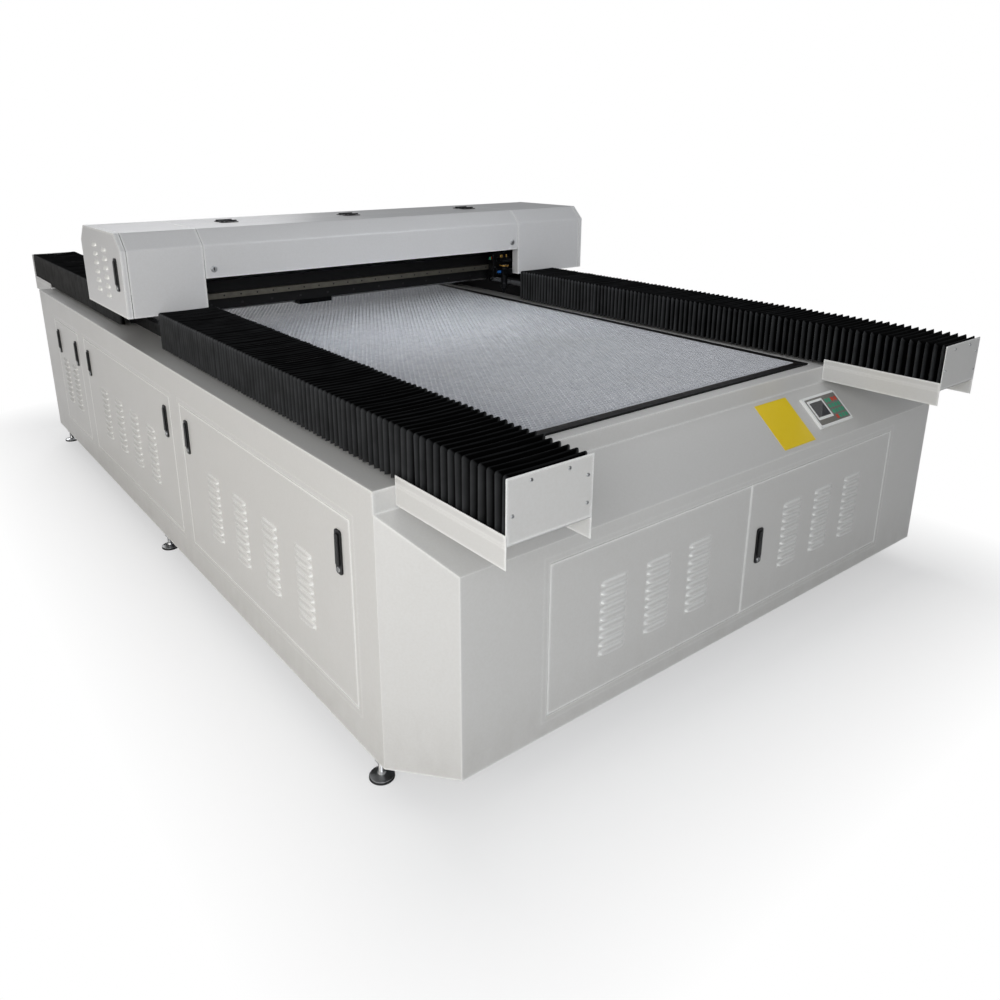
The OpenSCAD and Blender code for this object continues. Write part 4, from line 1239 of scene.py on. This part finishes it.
def ease(value: float) -> float:
    """Give the t for which 3t^2 - 2t^3 is the value."""
    return 0.5 - math.sin(math.asin(max(-1.0, min(1.0, 1 - 2 * value))) / 3)


# ---------------------------------------------------------------- gantry


@dataclass
class GantryCovers:
    """The gantry's sheet steel: two housings, two lids, two end doors and what is fixed to them."""

    sheet: float = 0.002
    chamfer: float = 0.052
    bend: float = 0.005
    seam: float = 0.0015

    def path(self, low_front: float, low_rear: float) -> list[Point]:
        """Give the (y, z) outline of the covers from the front lower edge over the top to the rear."""
        low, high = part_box("gantry_housing_left")
        c = self.chamfer
        return [
            (low.y, low_front),
            (low.y, high.z - c),
            (low.y + c, high.z),
            (high.y - c, high.z),
            (high.y, high.z - c),
            (high.y, low_rear),
        ]

    def housing(self, node: str, seam_left: bool) -> bpy.types.Object:
        """Build one housing: the folded skin and the bulkhead at its seam.

        Args:
            node: The housing's node.
            seam_left: Whether the seam with the lids is on its left.

        Returns:
            The housing.
        """
        low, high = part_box(node)
        s = Solid()
        s.folded(self.path(low.z, low.z), self.sheet, (low.x, high.x), Coat.GANTRY, self.bend)
        seam = low.x if seam_left else high.x - self.sheet
        wall = Solid()
        t, c, inset = self.sheet * 1.02, self.chamfer, 0.036
        shape = [
            (low.y + t, low.z),
            (low.y + t, high.z - c),
            (low.y + c, high.z - t),
            (high.y - c, high.z - t),
            (high.y - t, high.z - c),
            (high.y - t, low.z),
            (high.y - inset, low.z),
            (high.y - inset, high.z - 0.066),
            (low.y + inset, high.z - 0.066),
            (low.y + inset, low.z),
        ]
        wall.plate(wall.outline(shape), self.sheet, Coat.GANTRY)
        s.join(wall, Matrix.Translation((seam + self.sheet, 0, 0)) @ Matrix.Rotation(math.pi / 2, 4, "Z"))
        return s.piece(node + "_skin", "gantry", (node,), sharp=35)

    def lid(self, node: str, body: str, front: bool) -> bpy.types.Object:
        """Build one folded lid with the lid halves of its hinges.

        Args:
            node: The lid's node.
            body: Its body.
            front: Whether it is the front lid.

        Returns:
            The lid.
        """
        low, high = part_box(node)
        path = self.path(low.z, low.z)[:4] if front else self.path(low.z, low.z)[::-1][:4]
        path[3] = (high.y if front else low.y, high.z)
        s = Solid()
        s.folded(path, self.sheet, (low.x + self.seam, high.x - self.seam), Coat.GANTRY, self.bend)
        strip = high.y if front else low.y
        way = -1 if front else 1
        for x in self.hinges():
            a, b = sorted((strip + way * 0.003, strip + way * 0.017))
            s.box((x - 0.030, a, high.z), (x + 0.030, b, high.z + 0.0026), Coat.LATCH, 0.0008)
            for k in (-0.020, 0.020):
                s.turned(Axis.Z, (x + k, (a + b) / 2, high.z + 0.0026), 0.0008, (0.0028, 0.0022), Coat.ZINC, 0.0002, 16)
        return s.piece(node + "_skin", body, (node,), sharp=35)

    def hinges(self) -> list[float]:
        """Give the middle of each hinge along X."""
        low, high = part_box("lid_hinges")
        strip_low, strip_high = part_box("gantry_top_strip")
        middle = (strip_low.x + strip_high.x) / 2
        return [low.x + 0.030, middle, high.x - 0.030]

    def hinge_row(self) -> bpy.types.Object:
        """Build the strip halves of the hinges with their knuckles and pins."""
        low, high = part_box("lid_hinges")
        s = Solid()
        for x in self.hinges():
            for y, way in ((low.y + 0.004, 1), (high.y - 0.004, -1)):
                for k in range(5):
                    a = x - 0.030 + 0.012 * k + 0.0003
                    s.turned(Axis.X, (a, y, low.z + 0.004), 0.0114, (0.0038, 0.0038), Coat.LATCH, 0.0005, 20)
                s.turned(Axis.X, (x - 0.0298, y, low.z + 0.004), 0.0596, (0.0016, 0.0016), Coat.ZINC, 0.0003, 12)
                a, b = sorted((y + way * 0.001, y + way * 0.014))
                s.box((x - 0.030, a, low.z), (x + 0.030, b, low.z + 0.0028), Coat.LATCH, 0.0008)
                for k in (-0.020, 0.020):
                    s.turned(Axis.Z, (x + k, y + way * 0.009, low.z + 0.0028), 0.0008, (0.0028, 0.0022), Coat.ZINC, 0.0002, 16)
        return s.piece("lid_hinge_knuckles", "gantry", ("lid_hinges",))

    def cam_lock(self, node: str) -> bpy.types.Object:
        """Build a quarter turn cam lock: a ring, a plug and its key slot."""
        low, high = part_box(node)
        x, z = (low.x + high.x) / 2, (low.z + high.z) / 2
        s = Solid()
        r = (high.z - low.z) / 2
        s.spun(
            Axis.Y,
            (x, high.y, z),
            [(0.0, -0.0040), (r * 0.60, -0.0040), (r * 0.64, -0.0030), (r * 0.72, -0.0030), (r * 0.80, -0.0042), (r * 0.93, -0.0036), (r, -0.0016), (r, 0.0)],
            Coat.ZINC,
            36,
        )
        s.box((x - 0.0018, high.y - 0.0052, z - r * 0.5), (x + 0.0018, high.y - 0.0039, z + r * 0.5), Coat.LATCH, 0.0004)
        return s.piece(node + "_barrel", node, (node,), sharp=40)

    def end_door(self, node: str, left: bool) -> bpy.types.Object:
        """Build an end door: a shallow folded tray with two columns of short louvres."""
        low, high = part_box(node)
        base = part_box("gantry_housing_left")[0]
        c = self.chamfer
        face = high.x - 0.0187 if left else low.x + 0.0187
        middle = (low.y + high.y) / 2
        panel = LouvredPanel(node, node, Side.LEFT if left else Side.RIGHT, 2, 0.11, louvre=(0.048, 0.013, 0.0057))
        sign = -1 if left else 1
        half = (high.y - low.y) / 2
        outline = [(-half, 0), (half, 0), (half, high.z - c - low.z), (half - c, high.z - low.z), (c - half, high.z - low.z), (-half, high.z - c - low.z)]
        spots = [
            (sign * (0.060 - 0.110 * i), 0.0, 0.062 + 0.0299 * k - 0.008 * i) for i in (0, 1) for k in range(6)
        ]
        s = Solid()
        edges = s.outline(outline)
        for x, _, z in spots:
            edges += s.rectangle((x - 0.022, z - 0.0062), (x + 0.022, z - 0.0020))
        s.plate(edges, self.sheet, Coat.GANTRY, 0.0008)
        hood = panel.hood()
        # The end door's louvre hoods wear the paler coat, as painted highlight.
        hood.coats = [Coat.PAINTED_HIGHLIGHT]
        s.join(hood.spread(spots))
        whole = Solid()
        whole.join(s, panel.side.at(Vector((face, middle, low.z))))
        skin = Solid()
        span = (face + self.sheet * 0.5, high.x - self.seam) if left else (low.x + self.seam, face - self.sheet * 0.5)
        skin.folded(self.path(base.z, base.z), self.sheet, span, Coat.GANTRY, self.bend * 0.4)
        skin.box((span[0], low.y + 0.001, low.z), (span[1], high.y - 0.001, low.z + self.sheet), Coat.GANTRY, 0.0005)
        whole.join(skin)
        return whole.piece(node + "_tray", node, (node,), sharp=35)

    def build(self) -> None:
        """Build all the covers in place of their nodes."""
        self.housing("gantry_housing_left", False)
        self.housing("gantry_housing_right", True)
        self.lid("front_lid", "front_lid", True)
        self.lid("rear_lid", "rear_lid", False)
        self.hinge_row()
        for node in ("cam_lock_left", "cam_lock_right"):
            self.cam_lock(node)
        self.end_door("end_door_left", True)
        self.end_door("end_door_right", False)
        LatchRow("end_latch_left", "end_latch_left", Side.LEFT).build()
        LatchRow("end_latch_right", "end_latch_right", Side.RIGHT).build()


@dataclass
class LaserTube:
    """The glass laser tube: outer jacket, inner bore, end caps and electrodes, on two saddles."""

    node: str = "laser_tube"

    def build(self) -> list[bpy.types.Object]:
        """Build the tube in place of its node."""
        low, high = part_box(self.node)
        y, z = (low.y + high.y) / 2, (low.z + high.z) / 2
        r = (high.z - low.z) / 2 - 0.0003
        a, b = low.x + 0.040, high.x - 0.040
        jacket = Solid()
        jacket.spun(
            Axis.X,
            (a, y, z),
            [(0.016, 0.0), (r * 0.8, 0.001), (r, 0.012), (r, b - a - 0.012), (r * 0.8, b - a - 0.001), (0.016, b - a)],
            Coat.GLASS,
            48,
        )
        shell = jacket.piece("laser_tube_jacket", "gantry", (self.node,), sharp=60)
        inside = Solid()
        inside.spun(Axis.X, (a, y, z), [(0.0, 0.004), (0.015, 0.004), (0.015, b - a - 0.004), (0.0, b - a - 0.004)], Coat.GLASS, 24)
        for start, end in ((a + 0.05, a + 0.15), (b - 0.15, b - 0.05)):
            inside.turned(Axis.X, (start, y, z), end - start, (0.026, 0.026), Coat.COPPER, 0.002, 32)
        for start, way in ((low.x, 1), (high.x, -1)):
            x = start if way > 0 else start - 0.040
            inside.turned(Axis.X, (x, y, z), 0.0395, (0.021, 0.021), Coat.CAST, 0.0015, 32)
            inside.turned(Axis.X, (x + 0.012, y, z), 0.010, (0.0219, 0.0219), Coat.BRASS, 0.001, 32)
        core = inside.piece("laser_tube_core", "gantry", (), sharp=40)
        return [shell, core]


@dataclass
class CuttingHead:
    """Details of the laser head: knurled lens tube, mirror screws and the air fitting."""

    def build(self) -> list[bpy.types.Object]:
        """Build the lens tube in place of its node, and the carriage's small fittings."""
        low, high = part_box("lens_tube")
        x, y = (low.x + high.x) / 2, (low.y + high.y) / 2
        r, height = 0.015, high.z - low.z
        collar = height - 0.008
        tube = Solid()
        tube.spun(
            Axis.Z,
            (x, y, low.z),
            [
                (0.0, 0.0),
                (0.0040, 0.0),
                (0.0044, 0.002),
                (0.0125, 0.020),
                (0.0128, 0.0225),
                (r * 0.97, 0.0235),
                (r * 0.97, 0.040),
                (r * 0.90, 0.041),
                (r * 0.90, 0.043),
                (r * 0.985, 0.044),
                (r * 0.985, collar),
                (r, collar),
                (r, height),
                (0.0, height),
            ],
            Coat.ANODISED,
            48,
        )
        for k in range(36):
            turn = Matrix.Translation((x, y, 0)) @ Matrix.Rotation(math.tau * k / 36, 4, "Z")
            tooth = Solid()
            tooth.box((0.0146, -0.0008, high.z - 0.0078), (0.0197, 0.0008, high.z - 0.0024), Coat.BRASS, 0.0004)
            tube.join(tooth, turn)
        tube.turned(Axis.Z, (x, y, high.z - 0.0078), 0.0054, (0.0186, 0.0186), Coat.BRASS, 0.0004, 40)
        pieces = [tube.piece("lens_tube_turned", "lens", ("lens_tube",), sharp=35)]
        box_low, box_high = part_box("head_carriage")
        s = Solid()
        front = box_low.y
        face = front + 0.065
        for dx in (-0.036, 0.036):
            for dz in (-0.020, 0.006, 0.030):
                z = box_low.z + 0.044 + dz
                s.turned(Axis.Y, (x + dx, face - 0.0028, z), 0.0028, (0.0042, 0.0042), Coat.LATCH, 0.0006, 20)
        for dx, dy in ((-0.016, 0.030), (0.016, 0.030), (0.0, 0.040)):
            z = box_low.z + 0.044 + 0.044
            s.turned(Axis.Z, (x + dx, front + dy, z), 0.010, (0.0032, 0.0032), Coat.BRASS, 0.0005, 18)
        for dx, coat in ((-0.042, Coat.KEY_GREEN), (-0.030, Coat.KEY_RED), (0.034, Coat.KEY_RED)):
            s.turned(Axis.Z, (x + dx, front + 0.070, box_low.z + 0.0755), 0.012, (0.0048, 0.0048), coat, 0.001, 20)
        s.turned(Axis.X, (x - 0.040, front + 0.018, box_low.z + 0.028), 0.014, (0.0055, 0.0060), Coat.BLUE, 0.001, 24)
        s.turned(Axis.X, (x - 0.028, front + 0.018, box_low.z + 0.028), 0.003, (0.0044, 0.0044), Coat.BRASS, 0.0004, 6)
        pieces.append(s.piece("head_fittings", "head", (), sharp=35))
        return pieces


@dataclass
class GantryFittings:
    """Small parts that are seen in the gap under the front lid."""

    def build(self) -> bpy.types.Object:
        """Build the screws of the head's rail and of the beam's lower edge."""
        s = Solid()
        low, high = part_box("x_rail")
        z = (low.z + high.z) / 2
        count = 22
        for k in range(count):
            x = low.x + 0.03 + (high.x - low.x - 0.06) * k / (count - 1)
            s.turned(Axis.Y, (x, low.y - 0.00004, z), 0.0008, (0.0032, 0.0036), Coat.LATCH, 0.0002, 16)
        for k in range(12):
            x = low.x + 0.05 + (high.x - low.x - 0.10) * k / 11
            s.turned(Axis.Y, (x, high.y - 0.0004, z - 0.033), 0.0016, (0.0046, 0.0046), Coat.LATCH, 0.0004, 6)
        return s.piece("gantry_small_screws", "gantry", (), sharp=35)


# ---------------------------------------------------------------- machine and studio


@dataclass
class Machine:
    """The whole machine."""

    nodes: dict

    def cabinet(self) -> None:
        """Build the doors, panels, latches, trays, keypad and feet, and dress the rest."""
        dress(self.nodes, ["cabinet_shell"], Coat.BODY)
        dress(self.nodes, ["frame_weldment", "controller_box", "power_inlet"], Coat.FRAME)
        dress(self.nodes, ["notice_plate"], Coat.NOTICE)
        for side in ("left", "right"):
            node = "front_door_" + side
            LouvredPanel(node, node, Side.FRONT, 3, 0.158, middle=0.492).build()
        LatchRow("front_door_latch", "front_door_latch", Side.FRONT).build()
        panels = (
            ("left_front", Side.LEFT, 4, 0.192),
            ("left_middle", Side.LEFT, 4, 0.192),
            ("left_rear", Side.LEFT, 2, 0.160),
            ("right_front", Side.RIGHT, 4, 0.192),
            ("right_rear", Side.RIGHT, 4, 0.192),
        )
        for place, side, columns, pitch in panels:
            LouvredPanel("side_panel_" + place, "panel_" + place, side, columns, pitch).build()
            LatchRow("latches_" + place, "latches_" + place, side).build()
        for end, front in (("front", True), ("rear", False)):
            for side in ("left", "right"):
                EndTray(f"tray_{end}_{side}", front).build()
        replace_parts(bpy.data.objects["tray_front_left_screws"], "tray_screws")
        low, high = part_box("notice_plate")
        ControlPanel().build(math.atan2(high.z - low.z, high.y - low.y))
        LevellingFeet().build()

    def bed(self) -> None:
        """Build the honeycomb and the bellows, and dress the bed frame, slats and rails."""
        dress(self.nodes, ["bed_slats"], Coat.ZINC)
        dress(self.nodes, ["linear_rail_left", "linear_rail_right"], Coat.GROUND)
        dress(self.nodes, ["x_rail"], Coat.OILED)
        dress(self.nodes, ["y_belt_left", "y_belt_right", "x_belt"], Coat.RUBBER)
        BedFrame().build()
        HoneycombBed().build()
        for seed, (end, side) in enumerate((e, s) for e in ("front", "rear") for s in ("left", "right")):
            front = end == "front"
            # The right bellows' sides get a stronger painted highlight than the left's, to make up for the light that
            # the left bellows blocks.
            side_highlight = 0.6 if side == "left" else 1.0
            Bellows(f"bellows_{end}_{side}", 90 if front else 74, front, 0.020, 11 + seed, side_highlight).build()

    def gantry(self) -> None:
        """Build the gantry's covers, head and tube, and dress its structure."""
        dress(self.nodes, ["gantry_beam"], Coat.FRAME)
        dress(self.nodes, ["gantry_top_strip"], Coat.GANTRY)
        dress(self.nodes, ["guide_blocks", "y_drive_shaft"], Coat.ZINC)
        dress(self.nodes, ["y_motor", "x_motor", "head_carriage"], Coat.ANODISED)
        dress(self.nodes, ["x_drive_pulley", "x_idler_pulley"], Coat.CAST)
        GantryCovers().build()
        LaserTube().build()
        CuttingHead().build()
        GantryFittings().build()

    def build(self) -> None:
        """Build everything."""
        self.cabinet()
        self.bed()
        self.gantry()


@dataclass(frozen=True)
class Lamp:
    """One area lamp, aimed at a point."""

    name: str
    place: tuple[float, float, float]
    aim: tuple[float, float, float]
    size: Point
    watts: float
    colour: str = "#FFFFFF"
    spread_deg: float = 180.0

    def build(self) -> bpy.types.Object:
        """Build the lamp."""
        data = bpy.data.lights.new(self.name, "AREA")
        data.shape = "RECTANGLE"
        data.size, data.size_y = self.size
        data.energy = self.watts
        data.spread = math.radians(self.spread_deg)
        data.color = linear(self.colour)[:3]
        obj = bpy.data.objects.new(self.name, data)
        obj.location = self.place
        obj.rotation_euler = (Vector(self.aim) - Vector(self.place)).to_track_quat("-Z", "Y").to_euler()
        bpy.context.scene.collection.objects.link(obj)
        return obj


@dataclass
class Studio:
    """White surroundings, a pale floor, soft lamps and the camera."""

    sky: float = 0.27

    def camera(self) -> None:
        """Set the camera at the front left corner of the machine."""
        data = bpy.data.cameras.new("camera")
        data.lens = 30.194
        data.sensor_width = 36
        data.shift_x, data.shift_y = 0.01583, -0.08624
        data.clip_end = 100
        obj = bpy.data.objects.new("camera", data)
        obj.location = (-1.7636, -2.8690, 1.38426)
        obj.rotation_euler = tuple(math.radians(a) for a in (72.2319, 0.0441, -37.7661))
        bpy.context.scene.collection.objects.link(obj)
        bpy.context.scene.camera = obj

    def world(self) -> None:
        """Light the scene from a pale sky that looks white behind the machine."""
        world = bpy.data.worlds.new("surroundings")
        world.use_nodes = True
        tree = world.node_tree
        tree.nodes.clear()
        output = tree.nodes.new("ShaderNodeOutputWorld")
        seen = tree.nodes.new("ShaderNodeBackground")
        seen.inputs["Strength"].default_value = 1.0
        glow = tree.nodes.new("ShaderNodeBackground")
        glow.inputs["Color"].default_value = linear("#EDEFF2")
        glow.inputs["Strength"].default_value = self.sky
        path = tree.nodes.new("ShaderNodeLightPath")
        pick = tree.nodes.new("ShaderNodeMixShader")
        tree.links.new(path.outputs["Is Camera Ray"], pick.inputs[0])
        tree.links.new(glow.outputs[0], pick.inputs[1])
        tree.links.new(seen.outputs[0], pick.inputs[2])
        tree.links.new(pick.outputs[0], output.inputs[0])
        seen.inputs["Color"].default_value = (1, 1, 1, 1)
        bpy.context.scene.world = world

    def floor(self) -> None:
        """Lay a plain pale floor."""
        mesh = bpy.data.meshes.new("floor")
        bm = bmesh.new()
        bmesh.ops.create_grid(bm, x_segments=1, y_segments=1, size=15)
        bm.to_mesh(mesh)
        bm.free()
        g = Graph("pale_floor")
        colour = g.mix(g.noise(900.0, 3.0), linear("#F6F6F6"), linear("#FAFAFA"))
        mesh.materials.append(g.finish(base_color=colour, roughness=0.9))
        size = g.add("VectorMath", {0: g.coords}, operation="ABSOLUTE").outputs[0]
        past = g.add("VectorMath", {0: size, 1: (0.95, 1.75, 0.0)}, operation="SUBTRACT").outputs[0]
        past = g.add("VectorMath", {0: past, 1: (0.0, 0.0, 0.0)}, operation="MAXIMUM").outputs[0]
        reach = g.add("VectorMath", {0: past}, operation="LENGTH").outputs["Value"]
        seen = g.add("LightPath").outputs["Is Camera Ray"]
        far = g.add("Math", {0: g.remap(reach, (0.0, 0.5), (0.5, 1.0)), 1: seen}, operation="MULTIPLY").outputs[0]
        white = g.add("Emission", {"Color": (1, 1, 1, 1), "Strength": 1.0}).outputs[0]
        blend = g.add("MixShader", {0: far, 1: g.shader.outputs[0], 2: white}).outputs[0]
        g.tree.links.new(blend, g.output.inputs[0])
        obj = bpy.data.objects.new("floor", mesh)
        bpy.context.scene.collection.objects.link(obj)

    def build(self) -> None:
        """Build the studio."""
        self.camera()
        self.world()
        self.floor()
        lamps = (
            Lamp("lamp_corner", (-3.2, -4.2, 2.1), (-0.8, -1.2, 0.4), (2.0, 2.0), 82, "#FAFCFF"),
            Lamp("lamp_front", (-1.6, -7.0, 5.6), (0.0, 0.2, 1.0), (3.0, 2.0), 16, "#F4F7FF"),
            Lamp("lamp_low", (-4.6, -1.2, 1.2), (-0.9, -0.6, 0.4), (1.5, 2.0), 34, "#FFF8EE"),
            Lamp("lamp_left", (-6.0, 2.2, 2.6), (-0.8, 0.6, 0.5), (4.0, 3.0), 12, "#FFF8EE"),
            Lamp("lamp_back", (0.6, 7.0, 4.4), (0.0, -0.4, 0.8), (5.0, 3.0), 200, "#F8F8FA"),
            Lamp("lamp_bed", (0.5, -1.4, 1.7), (-0.1, 0.25, 0.8), (1.2, 0.5), 6, "#F6F9FF"),
            Lamp("lamp_far_bed", (-0.1, -0.90, 2.1), (-0.1, -0.38, 0.75), (1.2, 0.3), 1.3, "#F6F9FF", 40.0),
        )
        for lamp in lamps:
            lamp.build()
            log.info("%s at %.0f W", lamp.name, lamp.watts)


def main() -> None:
    """Load the frame, build the studio and the machine, and set the standard view transform."""
    logging.basicConfig(level=logging.INFO, format="%(name)s %(message)s")
    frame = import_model()
    Studio().build()
    Machine(frame["nodes"]).build()
    bpy.context.scene.view_settings.view_transform = "Standard"


if __name__ == "__main__":
    main()
